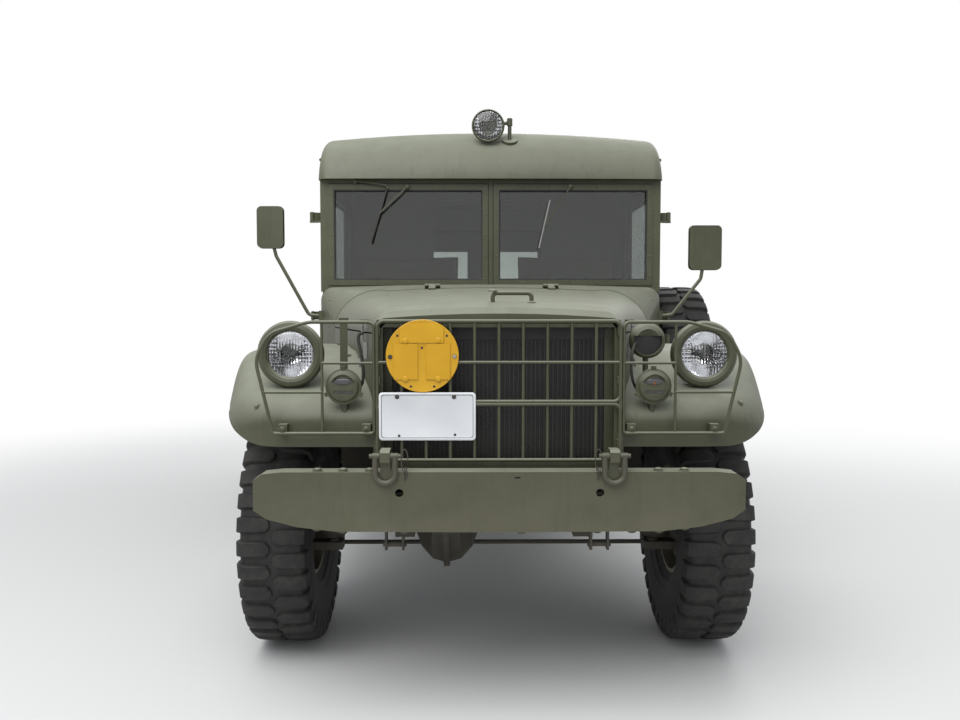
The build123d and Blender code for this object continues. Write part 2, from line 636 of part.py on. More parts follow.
def make_marker_lamp():
    """Drum with a domed door: eye-shaped window over a slot, a small brow and three door lugs."""
    x, y, z = MARKER
    section = [(0, 0), (0, 30), (3, 44), (10, 51), (12, 57), (22, 57), (58, 30), (68, 0)]
    drum = turned_y([(y + back, r) for back, r in section], x, z)
    eye = Plane(origin=(x, y - 1, z + 17), x_dir=(1, 0, 0), z_dir=(0, 1, 0)) * Ellipse(31, 12)
    drum = drum - extrude(eye, 6) - block(x - 32, x + 32, y - 1, y + 5, z - 21, z - 12)
    brow = turned_y([(y - 6, 38), (y - 6, 41), (y + 6, 44), (y + 6, 40)], x, z)
    pieces = [drum, brow & block(x - 60, x + 60, y - 10, y + 10, z + 20, z + 60)]
    for angle in (90, 205, 335):
        lug = Rot(Y=-angle) * block(50, 65, y + 10, y + 24, -7, 7)
        pieces.append(Pos(x, 0, z) * lug)
    foot = disc_z(x, y + 44, 960, z - 20, 12)
    return join(pieces + [foot])


def make_hooded_lamp():
    """Blackout driving lamp: drum with a sunk face under a half-round hood, on a stalk."""
    x, y, z = HOODED
    drum = turned_y([(y, 0), (y, 50), (y + 8, 58), (y + 30, 58), (y + 60, 35), (y + 70, 0)], x, z)
    drum = drum - disc_y(x, y - 1, y + 12, z, 47)
    hood = turned_y([(y + 14, 0), (y - 6, 38), (y, 50), (y + 14, 50)], x, z)
    hood = hood & block(x - 60, x + 60, y - 10, y + 20, z + 16, z + 60)
    stalk = bar((x, y + 40, 980), (x, y + 40, z - 30), 9)
    return join([drum, hood, stalk])


def make_front_lamps(fender):
    head = make_headlamp() - fender
    marker = make_marker_lamp() - fender
    hooded = make_hooded_lamp() - fender
    post = block(POST_X - 12, POST_X + 12, -2346, -2340, 960, 1262)
    cap = block(POST_X - 15, POST_X + 15, -2349, -2337, 1258, 1270)
    post = (post + cap) - other_side(fender)
    return Compound(children=largest([head, marker, other_side(head), other_side(marker), hooded, post]))


def lens_dome(y, radius, rise, x, z):
    """A moulded lens seated in a lamp's ring, bulging forward by its rise."""
    steps = 6
    turns = [math.radians(90 * n / steps) for n in range(steps + 1)]
    front = [(y - rise * math.cos(turn), radius * math.sin(turn)) for turn in turns]
    back = [(across + LENS_THICK, r) for across, r in reversed(front)]
    return turned_y(front + back, x, z)


def make_lamp_lenses():
    head = lens_dome(LAMP_Y + 3, 75.5, 12, LAMP_X, LAMP_Z)
    search = lens_dome(SEARCH_Y + 3, 66.5, 8, SEARCH_X, SEARCH_Z)
    return Compound(children=[head, other_side(head), search])


def make_tail_lamps():
    lamp = turned_y([(BODY_REAR, 0), (BODY_REAR, 40), (BODY_REAR + 20, 52), (BODY_REAR + 38, 52),
                     (BODY_REAR + 42, 46), (BODY_REAR + 42, 0)], 715, 1000)
    return pair(lamp)


def make_spotlight(roof):
    """Searchlight on a short post that stands on the roof's brow."""
    section = [(2, 67), (-3, 70), (0, 74), (8, 76), (16, 72), (60, 44), (84, 20), (88, 0), (56, 0), (38, 44),
               (10, 67)]
    shell = turned_y([(SEARCH_Y + back, r) for back, r in section], SEARCH_X, SEARCH_Z)
    post = disc_z(SEARCH_POST_X, SEARCH_POST_Y, SEARCH_SEAT, 2184, 9)
    cap = disc_z(SEARCH_POST_X, SEARCH_POST_Y, 2150, 2182, 13)
    arm = bar((SEARCH_POST_X, SEARCH_POST_Y, 2166), (32, SEARCH_POST_Y, 2152), 8)
    plate = Pos(SEARCH_POST_X, SEARCH_POST_Y, SEARCH_SEAT) * Rot(X=33) * Cylinder(36, 18)
    return join([shell, cap, arm, (post + plate) - roof])


def make_mirrors(cowl):
    y = -1100
    left_head = fillet(block(-SIDE_REACH, -955, y - 14, y + 14, 1580, 1771).edges().filter_by(Axis.Y), 22)
    left_arm = tube_run([(-BODY_HALF - 5, y, 1268), (-842, y, 1272), (-990, y, 1543), (-1015, y, 1640)], 8, 30)
    right_head = fillet(block(920, 1067, y - 14, y + 14, 1481, 1685).edges().filter_by(Axis.Y), 22)
    right_arm = tube_run([(BODY_HALF + 5, y, 1268), (842, y, 1272), (975, y, 1440), (993, y, 1560)], 8, 30)
    foot = block(BODY_HALF - 30, BODY_HALF + 8, y - 18, y + 18, 1244, 1292)
    left = join([other_side(foot) - cowl, left_arm, left_head])
    right = join([foot - cowl, right_arm, right_head])
    return Compound(children=[left, right])


def make_sign_plates():
    disc = disc_y(-241, GUARD_Y - 12, GUARD_Y - 6, 1151, 114.5)
    plate = block(-378.5, -73.5, GUARD_Y - 10, GUARD_Y - 6, 884, 1036)
    return Compound(children=[disc, plate])


# Body shell

def make_body_side():
    """Driver's side wall behind the cab door, with the rail over the door and the wheel's flare."""
    x0 = BODY_HALF - WALL
    wall = side_plate([(PILLAR_Y, SILL), (PILLAR_Y, SHIELD_TOP), (-1060, SHIELD_TOP), (-1060, GUTTER),
                       (BODY_REAR - WALL, GUTTER), (BODY_REAR - WALL, SILL)], x0, BODY_HALF)
    flare = disc_x(x0, 930, REAR_AXLE_Y, AXLE_Z, ARCH_R + 45)
    flare = fillet(flare.edges().sort_by(Axis.X)[-1], 38)
    flare = flare & block(x0, 931, 800, 2200, SILL, 1200)
    hole = disc_x(x0 - 1, 931, REAR_AXLE_Y, AXLE_Z, ARCH_R)
    rail = bar((BODY_HALF + 4, -1050, GUTTER - 8), (BODY_HALF + 4, BODY_REAR - WALL, GUTTER - 8), 7)
    return ((wall + flare) - hole) + rail


def make_body_floor(cowl):
    pieces = [block(-BODY_HALF + WALL, BODY_HALF - WALL, -1280, PILLAR_Y + 4, CAB_FLOOR - 30, CAB_FLOOR),
              block(-BODY_HALF + WALL, BODY_HALF - WALL, PILLAR_Y + 4, BODY_REAR - WALL, LOAD_FLOOR - 30, LOAD_FLOOR)]
    for y in (-1000, -620):
        pieces.append(block(-700, 700, y, y + 60, RAIL_TOP, CAB_FLOOR - 30))
    for y in (-200, 500, 850, 2200):
        pieces.append(block(-700, 700, y, y + 60, RAIL_TOP, LOAD_FLOOR - 30))
    pieces.append(block(-BODY_HALF + WALL, BODY_HALF - WALL, PILLAR_Y + 4, PILLAR_Y + 16, CAB_FLOOR - 30, LOAD_FLOOR))
    floor = join(pieces)
    y0 = REAR_AXLE_Y - ARCH_R
    y1 = REAR_AXLE_Y + ARCH_R
    for side in (-1, 1):
        floor = floor - block(side * 590, side * BODY_HALF, y0, y1, 700, 900)
        well = block(590, BODY_HALF - WALL, y0 - 15, y1 + 15, LOAD_FLOOR - 30, 1075)
        well = well - block(605, BODY_HALF, y0, y1, 800, 1060)
        floor = floor + (well if side > 0 else other_side(well))
    return largest([floor - cowl])[0]


def make_bulkhead():
    y0 = PILLAR_Y + 16
    wall = block(-BODY_HALF + WALL, BODY_HALF - WALL, y0, y0 + 30, LOAD_FLOOR, GUTTER)
    return wall - block(-300, 300, y0 - 1, y0 + 31, LOAD_FLOOR + 20, 1900)


def make_rear_frame():
    wall = block(-BODY_HALF, BODY_HALF, BODY_REAR - WALL, BODY_REAR, SILL, GUTTER)
    opening = REAR_DOOR_HALF + 3
    y0 = BODY_REAR - WALL - 1
    wall = wall - block(-opening, opening, y0, BODY_REAR + 1, LOAD_FLOOR + 4, 1960)
    wall = wall - block(-425, 425, y0, BODY_REAR + 1, SILL - 1, RAIL_TOP)
    hinge = rear_hinge()
    step_lug = block(304, 324, BODY_REAR, BODY_REAR + 26, STEP_Z - 14, STEP_Z + 14)
    pin = disc_x(284, 304, BODY_REAR + 16, STEP_Z, 6)
    return join([wall, hinge, other_side(hinge), step_lug, other_side(step_lug), pin, other_side(pin)])


REAR_HINGE_Z = (1050, 1400, 1780)


def rear_hinge():
    """Fixed half of the rear hinges: a lug and its pin at each height."""
    pieces = []
    x = REAR_DOOR_HALF + 12
    for z in REAR_HINGE_Z:
        pieces.append(block(REAR_DOOR_HALF + 6, x + 30, BODY_REAR, BODY_REAR + 6, z - 30, z - 8))
        pieces.append(disc_z(REAR_DOOR_HALF, BODY_REAR + 10, z - 20, z - 8, 9))
        pieces.append(block(REAR_DOOR_HALF, x, BODY_REAR + 3, BODY_REAR + 6, z - 20, z - 8))
        pieces.append(disc_z(REAR_DOOR_HALF, BODY_REAR + 10, z - 8, z + 30, 4))
    return join(pieces)


def make_rear_door():
    """Driver's side rear door, its window cut."""
    door = block(3, REAR_DOOR_HALF - 3, BODY_REAR - WALL, BODY_REAR, LOAD_FLOOR + 8, 1954)
    door = door - block(120, 480, BODY_REAR - WALL - 1, BODY_REAR + 1, 1430, 1800)
    pieces = [door]
    for z in REAR_HINGE_Z:
        ring = disc_z(REAR_DOOR_HALF, BODY_REAR + 10, z - 6, z + 26, 9)
        strap = block(REAR_DOOR_HALF - 90, REAR_DOOR_HALF - 3, BODY_REAR, BODY_REAR + 6, z - 6, z + 26)
        link = block(REAR_DOOR_HALF - 12, REAR_DOOR_HALF, BODY_REAR + 1, BODY_REAR + 10, z - 6, z + 26)
        piece = ring + strap + link
        pieces.append(piece - disc_z(REAR_DOOR_HALF, BODY_REAR + 10, z - 9, z + 31, 4.3))
    pieces.append(block(20, 50, BODY_REAR, BODY_REAR + 30, 1290, 1310))
    return join(pieces)


def make_rear_glass():
    return block(120, 480, BODY_REAR - 24, BODY_REAR - 18, 1430, 1800)


def make_rear_step():
    y0 = BODY_REAR + 10
    frame = block(-296, 296, y0, y0 + 12, STEP_Z - 8, LOAD_FLOOR - 2)
    for z in (STEP_Z + 20, STEP_Z + 50):
        frame = frame - block(-280, 280, y0 - 1, y0 + 13, z, z + 18)
    ribs = [block(x - 5, x + 5, y0, y0 + 12, STEP_Z, LOAD_FLOOR - 4) for x in (-150, 0, 150)]
    ring = disc_x(280, 298, BODY_REAR + 16, STEP_Z, 13)
    step = join([frame] + ribs + [ring, other_side(ring)])
    for side in (-1, 1):
        step = step - disc_x(side * 270, side * 313, BODY_REAR + 16, STEP_Z, 6.3)
    return step


# The roof: one side profile, bowed across round a far hub line, its long edges rounded
ROOF_FOOT = (-1154, 1850)
ROOF_BROW = (-922, 2139)
ROOF_BROW_SLOPE = 12
ROOF_CREST = (0, 2244)
ROOF_BOW = 7940
ROOF_BOW_HUB = 2200 - ROOF_BOW
ROOF_BOW_ANGLE = 7
ROOF_EDGE = 50
VENT_Y = (250, 1450)


def make_roof():
    low = ROOF_FOOT[1]
    rise = (math.cos(math.radians(ROOF_BROW_SLOPE)), math.sin(math.radians(ROOF_BROW_SLOPE)))
    tail = (BODY_REAR, ROOF_CREST[1])
    brow = TangentArc(ROOF_BROW, ROOF_FOOT, tangent=(-rise[0], -rise[1]))
    climb = TangentArc(ROOF_BROW, ROOF_CREST, tangent=rise)
    back = TangentArc(ROOF_CREST, tail, tangent=climb % 1)
    face = make_face([brow, climb, back, Polyline(tail, (BODY_REAR, low), ROOF_FOOT)])
    plane = Plane(origin=(0, 0, 0), x_dir=(0, 1, 0), z_dir=(1, 0, 0))
    hub = Axis((0, 0, ROOF_BOW_HUB), (0, 1, 0))
    bowed = revolve((plane * face).rotate(hub, -ROOF_BOW_ANGLE), hub, 2 * ROOF_BOW_ANGLE)
    shell = bowed & block(-ROOF_HALF, ROOF_HALF, -1200, BODY_REAR + 10, low - 100, 2300)
    long_edges = [edge for edge in shell.edges() if abs(abs(edge.center().X) - ROOF_HALF) < 1
                  and edge.bounding_box().max.Z > 1950 and edge.bounding_box().size.Y > 5]
    shell = fillet(long_edges, ROOF_EDGE)
    shell = shell - block(-900, 900, -1200, -1060, 1700, SHIELD_TOP)
    shell = shell - block(-900, 900, -1060, BODY_REAR + 1, 1700, GUTTER)
    shell = shell - side_plate([(BODY_REAR - 60, 2262), (BODY_REAR + 1, 2262), (BODY_REAR + 1, 2196)], -900, 900)
    hollow = side_plate([(-1060, GUTTER - 1), (-1060, 2008), (-900, 2070), (-300, 2165), (2300, 2185),
                         (BODY_REAR - 35, 2140), (BODY_REAR - 35, GUTTER - 1)], -BODY_HALF + WALL, BODY_HALF - WALL)
    shell = shell - hollow
    for y in VENT_Y:
        section = [(0, 2240), (150, 2240), (150, 2270), (175, 2280), (175, 2300), (120, 2330), (0, 2334)]
        face = Plane.XZ * make_face(Polyline(*section, close=True))
        shell = shell + Pos(0, y, 0) * revolve(face, Axis.Z)
    return shell


def make_cab_door():
    """Driver's side cab door, its window cut, hinge rings on the line of the pins."""
    x0 = BODY_HALF - WALL
    door = side_plate([(POST_Y + DOOR_GAP, SILL + 30), (POST_Y + DOOR_GAP, SHIELD_TOP - 6),
                       (PILLAR_Y - DOOR_GAP, SHIELD_TOP - 6), (PILLAR_Y - DOOR_GAP, SILL + 30)], x0, BODY_HALF)
    door = door - block(x0 - 1, BODY_HALF + 1, -990, -370, 1430, 1830)
    door = door - disc_x(x0 - 1, BODY_HALF + 1, FRONT_AXLE_Y, AXLE_Z, 600)
    pieces = [door]
    for z in (820, 1240, 1700):
        ring = disc_z(DOOR_AXIS_X, DOOR_AXIS_Y, z + 10, z + 48, 10)
        arm = top_plate([(BODY_HALF, -1048), (DOOR_AXIS_X - 6, -1062), (DOOR_AXIS_X + 8, -1056),
                         (BODY_HALF + 6, -1036), (BODY_HALF + 6, -960), (BODY_HALF, -960)], z + 10, z + 48)
        pieces.append((ring + arm) - disc_z(DOOR_AXIS_X, DOOR_AXIS_Y, z, z + 60, 5.3))
    pieces.append(block(BODY_HALF, BODY_HALF + 28, -400, -340, 1380, 1398))
    return join(pieces)


def make_door_glass():
    return block(BODY_HALF - 24, BODY_HALF - 18, -990, -370, 1430, 1830)


def make_running_board():
    board = block(-925, -BODY_HALF, -1090, PILLAR_Y, 585, 610)
    arms = [block(-925, -380, y, y + 50, 630 - 70, 585) for y in (-1040, -420)]
    legs = [block(-388, -380, y, y + 50, 585, 680) for y in (-1040, -420)]
    return join([board] + arms + legs)


# Spare wheel on its swinging carrier

CARRIER_X = BODY_HALF + 14


def make_spare_carrier():
    pieces = []
    for z in (900, 1130):
        ring = disc_z(DOOR_AXIS_X, DOOR_AXIS_Y, z + 3, z + 48, 13)
        arm = top_plate([(DOOR_AXIS_X - 4, -1062), (DOOR_AXIS_X + 10, -1058), (CARRIER_X + 8, -1030),
                         (CARRIER_X + 8, SPARE_Y), (CARRIER_X, SPARE_Y), (CARRIER_X, -1036)], z + 3, z + 48)
        pieces.append(ring + arm)
    pieces.append(block(CARRIER_X, CARRIER_X + 8, SPARE_Y - 60, SPARE_Y + 60, 860, 1182))
    pieces.append(disc_x(CARRIER_X + 8, SPARE_X - 28, SPARE_Y, SPARE_Z, 90))
    carrier = join(pieces)
    for z in (900, 1130):
        carrier = carrier - disc_z(DOOR_AXIS_X, DOOR_AXIS_Y, z - 1, z + 60, 7.3)
    return carrier


# Cab inside, seen through the glass

def make_seats():
    def seat(x0, x1):
        base = block(x0 + 30, x1 - 30, -840, -440, CAB_FLOOR, 1040)
        cushion = fillet(block(x0, x1, -900, -420, 1040, 1150).edges(), 25)
        back = fillet(block(x0, x1, -420, -330, 1060, 1580).edges(), 25)
        return join([base, cushion, back])
    return Compound(children=[seat(160, 680), seat(-680, -160)])


STEER_HUB = (400, -830, 1325)
STEER_LEAN = (0, 0.645, 0.764)


def along_column(distance):
    """A point on the steering column, measured down from the wheel's hub."""
    return tuple(h - distance * d for h, d in zip(STEER_HUB, STEER_LEAN))


def make_dash():
    panel = block(-BODY_HALF + WALL, BODY_HALF - WALL, -1055, -990, 1180, 1375)
    column = bar(along_column(628), along_column(16), 22)
    bracket = block(385, 415, -1040, -1000, 1100, 1180)
    return panel + (column + bracket)


def make_steering_wheel():
    tilt = Plane(origin=STEER_HUB, z_dir=STEER_LEAN)
    ring = tilt * Torus(205, 12)
    hub = extrude(tilt.offset(-14) * Circle(34), 24)
    spokes = []
    for angle in (90, 210, 330):
        turn = math.radians(angle)
        end = tilt.from_local_coords(Vector(math.cos(turn) * 205, math.sin(turn) * 205, 0))
        spokes.append(bar(STEER_HUB, tuple(end), 7))
    return join([ring, hub] + spokes)


def main():
    os.makedirs("parts", exist_ok=True)
    fender = make_fender()
    save("frame", make_frame())
    save("front_bumper", make_front_bumper())
    save("tow_shackles", make_tow_shackles())
    save("rear_bumperettes", make_rear_bumperettes())
    save("pintle_hook", make_pintle_hook())
    save("front_axle", make_front_axle())
    save("rear_axle", make_rear_axle())
    knuckle = make_knuckle()
    save("knuckle_left", knuckle)
    save("knuckle_right", other_side(knuckle))
    save("tie_rod", make_tie_rod())
    tyre = make_tyre()
    for name, y, side in [("front_left", FRONT_AXLE_Y, 1), ("front_right", FRONT_AXLE_Y, -1),
                          ("rear_left", REAR_AXLE_Y, 1), ("rear_right", REAR_AXLE_Y, -1)]:
        save(f"wheel_{name}", make_wheel(y, side))
        save(f"tyre_{name}", Pos(side * TRACK / 2, y, AXLE_Z) * tyre)
    save("leaf_springs", make_leaf_springs())
    save("powertrain", make_powertrain())
    save("radiator", make_radiator())
    save("fuel_tank", make_fuel_tank())
    save("exhaust", make_exhaust())
    save("nose", make_nose())
    save("fender_left", fender)
    save("fender_right", other_side(fender))
    save("hood", make_hood())
    cowl = make_cowl()
    save("cowl", cowl)
    save("windshield_frame", make_windshield_frame())
    save("windshield_glass", make_windshield_glass())
    save("grille_guard", make_grille_guard(fender))
    save("front_lamps", make_front_lamps(fender))
    save("lamp_lenses", make_lamp_lenses())
    save("tail_lamps", make_tail_lamps())
    roof = make_roof()
    save("spotlight", make_spotlight(roof))
    save("mirrors", make_mirrors(cowl))
    save("sign_plates", make_sign_plates())
    side = make_body_side()
    save("body_side_left", side)
    save("body_side_right", other_side(side))
    save("body_floor", make_body_floor(cowl))
    save("bulkhead", make_bulkhead())
    save("rear_frame", make_rear_frame())
    save("roof", roof)
    door = make_cab_door()
    glass = make_door_glass()
    save("cab_door_left", door)
    save("cab_door_right", other_side(door))
    save("cab_glass_left", glass)
    save("cab_glass_right", other_side(glass))
    door = make_rear_door()
    glass = make_rear_glass()
    save("rear_door_left", door)
    save("rear_door_right", other_side(door))
    save("rear_glass_left", glass)
    save("rear_glass_right", other_side(glass))
    save("rear_step", make_rear_step())
    save("running_board", make_running_board())
    save("spare_carrier", make_spare_carrier())
    save("spare_wheel", Pos(SPARE_X, 0, 0) * turned_x(SPARE_SECTION, SPARE_Y, SPARE_Z))
    save("spare_tyre", Pos(SPARE_X, SPARE_Y, SPARE_Z) * tyre)
    save("seats", make_seats())
    save("dash", make_dash())
    save("steering_wheel", make_steering_wheel())


main()
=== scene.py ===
import json
import math

import bmesh
import bpy
from mathutils import Matrix, Vector


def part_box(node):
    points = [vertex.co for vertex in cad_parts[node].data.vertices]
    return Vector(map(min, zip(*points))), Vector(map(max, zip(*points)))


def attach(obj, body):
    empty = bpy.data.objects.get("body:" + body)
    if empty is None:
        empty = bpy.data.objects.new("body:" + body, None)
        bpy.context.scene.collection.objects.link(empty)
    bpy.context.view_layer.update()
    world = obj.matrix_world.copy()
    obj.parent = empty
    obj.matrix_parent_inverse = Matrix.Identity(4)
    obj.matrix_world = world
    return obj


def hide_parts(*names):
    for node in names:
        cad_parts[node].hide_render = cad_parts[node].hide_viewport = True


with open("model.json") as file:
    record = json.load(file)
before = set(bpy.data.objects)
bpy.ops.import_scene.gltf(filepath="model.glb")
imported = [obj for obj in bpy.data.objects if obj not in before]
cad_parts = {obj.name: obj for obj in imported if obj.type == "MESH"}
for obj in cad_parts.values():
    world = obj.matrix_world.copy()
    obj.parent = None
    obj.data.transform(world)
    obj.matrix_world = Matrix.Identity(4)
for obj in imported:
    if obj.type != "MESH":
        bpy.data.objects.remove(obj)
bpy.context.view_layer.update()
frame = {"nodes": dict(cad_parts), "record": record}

nodes = frame["nodes"]
slot_of = {part["node"]: part["material_slot"] for part in frame["record"]["subparts"]}


# Camera: held at chest height four metres before the windshield, a moderate wide lens, tipped a little down
# and turned a hair to the truck's left, as the photograph's vanishing point shows.
PICTURE_PX = (960, 720)
FOCAL_PX = 880
VANISHING_PX = (473, 310)
SENSOR = 36
camera_data = bpy.data.cameras.new("front_camera")
camera_data.sensor_width = SENSOR
camera_data.lens = FOCAL_PX / PICTURE_PX[0] * SENSOR
camera = bpy.data.objects.new("front_camera", camera_data)
camera.location = (-0.082, -5.191, 1.295)
aside, down = [math.atan((size / 2 - point) / FOCAL_PX) for size, point in zip(PICTURE_PX, VANISHING_PX)]
camera.rotation_euler = (math.radians(90) - down, 0, -aside)
bpy.context.scene.collection.objects.link(camera)
bpy.context.scene.camera = camera
bpy.context.scene.view_settings.view_transform = "Standard"


# Floor, sky and lamps: pale studio floor, an even overcast dome that is white where it is seen straight,
# mirrored or through glass, and two broad soft lamps, one above the nose and one behind the tail.
def fill(node, values):
    """Joins a node's inputs to sockets or to other nodes' first outputs, or gives them plain values."""
    for socket, value in values.items():
        if isinstance(value, bpy.types.Node):
            value = value.outputs[0]
        if isinstance(value, bpy.types.NodeSocket):
            node.id_data.links.new(value, node.inputs[socket])
        else:
            node.inputs[socket].default_value = value
    return node


def add_node(tree, kind, inputs={}, **settings):
    node = tree.nodes.new(kind)
    for setting, value in settings.items():
        setattr(node, setting, value)
    return fill(node, inputs)


def tree_math(tree, kind, a, b):
    return add_node(tree, "ShaderNodeMath", {0: a, 1: b}, operation=kind)


WHITE = (1, 1, 1, 1)
FADE_START, FADE_END = 2.7, 6.5
floor_mesh = bpy.data.meshes.new("studio_floor")
floor_mesh.from_pydata([(-40, -40, 0), (40, -40, 0), (40, 40, 0), (-40, 40, 0)], [], [(0, 1, 2, 3)])
floor = bpy.data.objects.new("studio_floor", floor_mesh)
bpy.context.scene.collection.objects.link(floor)
floor_look = bpy.data.materials.new("studio_floor")
floor_look.use_nodes = True
tree = floor_look.node_tree
pale = fill(tree.nodes["Principled BSDF"], {"Base Color": (0.74, 0.74, 0.73, 1), "Roughness": 0.85})
place = add_node(tree, "ShaderNodeTexCoord").outputs["Object"]
reach = add_node(tree, "ShaderNodeVectorMath", {0: place}, operation="LENGTH").outputs["Value"]
fade = add_node(tree, "ShaderNodeMapRange", {"From Min": FADE_START, "From Max": FADE_END, "Value": reach},
                interpolation_type="SMOOTHSTEP")
ray = add_node(tree, "ShaderNodeLightPath").outputs
seen = tree_math(tree, "MAXIMUM", ray["Is Camera Ray"], ray["Is Transmission Ray"])
white = add_node(tree, "ShaderNodeEmission", {"Color": WHITE})
mixed = add_node(tree, "ShaderNodeMixShader", {0: tree_math(tree, "MULTIPLY", seen, fade), 1: pale, 2: white})
fill(tree.nodes["Material Output"], {"Surface": mixed})
floor_mesh.materials.append(floor_look)

sky = bpy.data.worlds.new("overcast")
bpy.context.scene.world = sky
sky.use_nodes = True
tree = sky.node_tree
dome = fill(tree.nodes["Background"], {"Color": (0.93, 0.96, 1.0, 1), "Strength": 0.62})
white = add_node(tree, "ShaderNodeBackground", {"Color": WHITE, "Strength": 1.0})
ray = add_node(tree, "ShaderNodeLightPath").outputs
seen = tree_math(tree, "MAXIMUM", ray["Is Camera Ray"], ray["Is Glossy Ray"])
seen = tree_math(tree, "MAXIMUM", seen, ray["Is Transmission Ray"])
mixed = add_node(tree, "ShaderNodeMixShader", {0: seen, 1: dome, 2: white})
fill(tree.nodes["World Output"], {"Surface": mixed})

for lamp_name, place, aim, power in (
        ("overhead_lamp", (-1.5, -4.5, 5.5), (0, -0.8, 0.9), 300),
        ("tail_side_lamp", (3.0, 5.5, 5.0), (0, 0.8, 1.0), 220)):
    lamp_data = bpy.data.lights.new(lamp_name, "AREA")
    lamp_data.size = 5.0
    lamp_data.energy = power
    lamp = bpy.data.objects.new(lamp_name, lamp_data)
    lamp.location = place
    lamp.rotation_euler = (Vector(aim) - Vector(place)).to_track_quat("-Z", "Y").to_euler()
    bpy.context.scene.collection.objects.link(lamp)


# Sheet-metal body, doors, hood and fenders: pressed steel under old olive drab enamel, chalked pale where it faces
# the sky and painted lighter there as sky light, streaked by rain on upright sides, chipped to rust at edges and
# dusty near the ground.
class Look:
    """A material's tree, with short ways to add its nodes."""

    def __init__(self, name):
        self.material = bpy.data.materials.new(name)
        self.material.use_nodes = True
        self.shader = self.material.node_tree.nodes["Principled BSDF"]
        self.place = self.add("TexCoord").outputs["Object"]

    def add(self, kind, inputs={}, **settings):
        return add_node(self.material.node_tree, "ShaderNode" + kind, inputs, **settings)

    def noise(self, scale, detail=4.0, rough=0.55, at=None):
        return self.add("TexNoise", {
            "Vector": at or self.place, "Scale": scale, "Detail": detail, "Roughness": rough})

    def span(self, value, low, high, to_low=0.0, to_high=1.0):
        return self.add("MapRange", {
            "Value": value, "From Min": low, "From Max": high, "To Min": to_low, "To Max": to_high})

    def math(self, kind, a, b):
        return tree_math(self.material.node_tree, kind, a, b)

    def mix(self, share, first, second):
        return self.add("Mix", {0: share, 6: first, 7: second}, data_type="RGBA").outputs[2]

    def height(self, vector=None):
        """How high a place is, or how far another vector points up."""
        return self.add("SeparateXYZ", {0: vector or self.place}).outputs["Z"]

    def upward(self):
        """1 where the surface faces the sky, 0 where it is upright, -1 where it faces down."""
        return self.height(self.add("NewGeometry").outputs["Normal"])

    def edge(self, radius):
        """1 on convex and concave edges, 0 on flat metal."""
        rounded = self.add("Bevel", {"Radius": radius}, samples=4)
        flat = self.add("NewGeometry").outputs["Normal"]
        likeness = self.add("VectorMath", {0: rounded, 1: flat}, operation="DOT_PRODUCT").outputs["Value"]
        return self.span(likeness, 0.995, 0.9)

    def bump(self, height, distance, strength=1.0):
        node = self.add("Bump", {"Distance": distance, "Strength": strength, "Height": height})
        if self.shader.inputs["Normal"].links:
            fill(node, {"Normal": self.shader.inputs["Normal"].links[0].from_socket})
        fill(self.shader, {"Normal": node})

    def finish(self, colour, roughness, metallic=0.0):
        fill(self.shader, {"Base Color": colour, "Roughness": roughness, "Metallic": metallic})
        return self.material


def shade(colour, share):
    return tuple(share * channel for channel in colour[:3]) + (1,)


RUST = (0.13, 0.055, 0.028, 1)
# Pale colour for sky-facing paint: real chalked enamel, and also painted sky light that brightens upward faces.
CHALK_AND_SKY_LIGHT = (0.29, 0.305, 0.235, 1)
DUST = (0.2, 0.175, 0.13, 1)


def enamel(name, deep, fresh, chalk_and_light_share=0.7, rusting=0.5, gloss=0.4, dusty=0.45):
    """Old enamel on steel: deep and fresh are its two shades."""
    look = Look(name)
    mottle = look.noise(11, 8, 0.62)
    colour = look.mix(look.span(look.noise(1.6, 6, 0.6), 0.35, 0.65), deep, fresh)
    colour = look.mix(look.span(mottle, 0.42, 0.72, 0, 0.35), colour, shade(deep, 0.72))
    # Upward faces mixed towards the pale colour: real chalking and painted sky light together.
    sky_chalk_and_light = look.span(look.upward(), 0.12, 0.85, 0, chalk_and_light_share)
    sky_chalk_and_light = look.math("MULTIPLY", sky_chalk_and_light, look.span(mottle, 0.25, 0.6, 0.72, 1.0))
    colour = look.mix(sky_chalk_and_light, colour, CHALK_AND_SKY_LIGHT)
    drawn_down = look.add("Mapping", {"Vector": look.place, "Scale": (13, 13, 0.75)})
    runs = look.noise(3.2, 7, 0.65, drawn_down)
    upright = look.span(look.math("ABSOLUTE", look.upward(), 0), 0.7, 0.2)
    runs = look.math("MULTIPLY", look.span(runs, 0.53, 0.74, 0, 0.42), upright)
    colour = look.mix(runs, colour, shade(deep, 0.5))
    ground = look.math("MULTIPLY", look.span(look.height(), 0.95, 0.42, 0, dusty),
                       look.span(mottle, 0.3, 0.6, 0.3, 1))
    colour = look.mix(ground, colour, DUST)
    chips = look.span(look.noise(38, 10, 0.72), 0.64 - 0.05 * rusting, 0.7 - 0.05 * rusting)
    worn = look.math("MULTIPLY", look.edge(0.0035), look.span(mottle, 0.45, 0.6, 0, 1))
    spots = look.math("MULTIPLY", look.span(look.noise(75, 6, 0.7), 0.7, 0.74), rusting)
    rust = look.math("MAXIMUM", look.math("MULTIPLY", chips, worn), spots)
    colour = look.mix(rust, colour, RUST)
    rough = look.math("ADD", sky_chalk_and_light, look.math("MULTIPLY", mottle, 0.5))
    rough = look.span(rough, 0, 1.2, gloss, gloss + 0.3)
    look.bump(look.noise(5, 3, 0.5), 0.006, 0.35)
    look.bump(look.noise(420, 2, 0.5), 0.0004, 0.35)
    return look.finish(colour, look.math("MAXIMUM", rough, look.math("MULTIPLY", rust, 0.85)))


def dress(names, look):
    for name in names:
        for slot in nodes[name].material_slots:
            slot.material = look


def in_slots(*slots):
    return [node for node, slot in slot_of.items() if slot in slots]


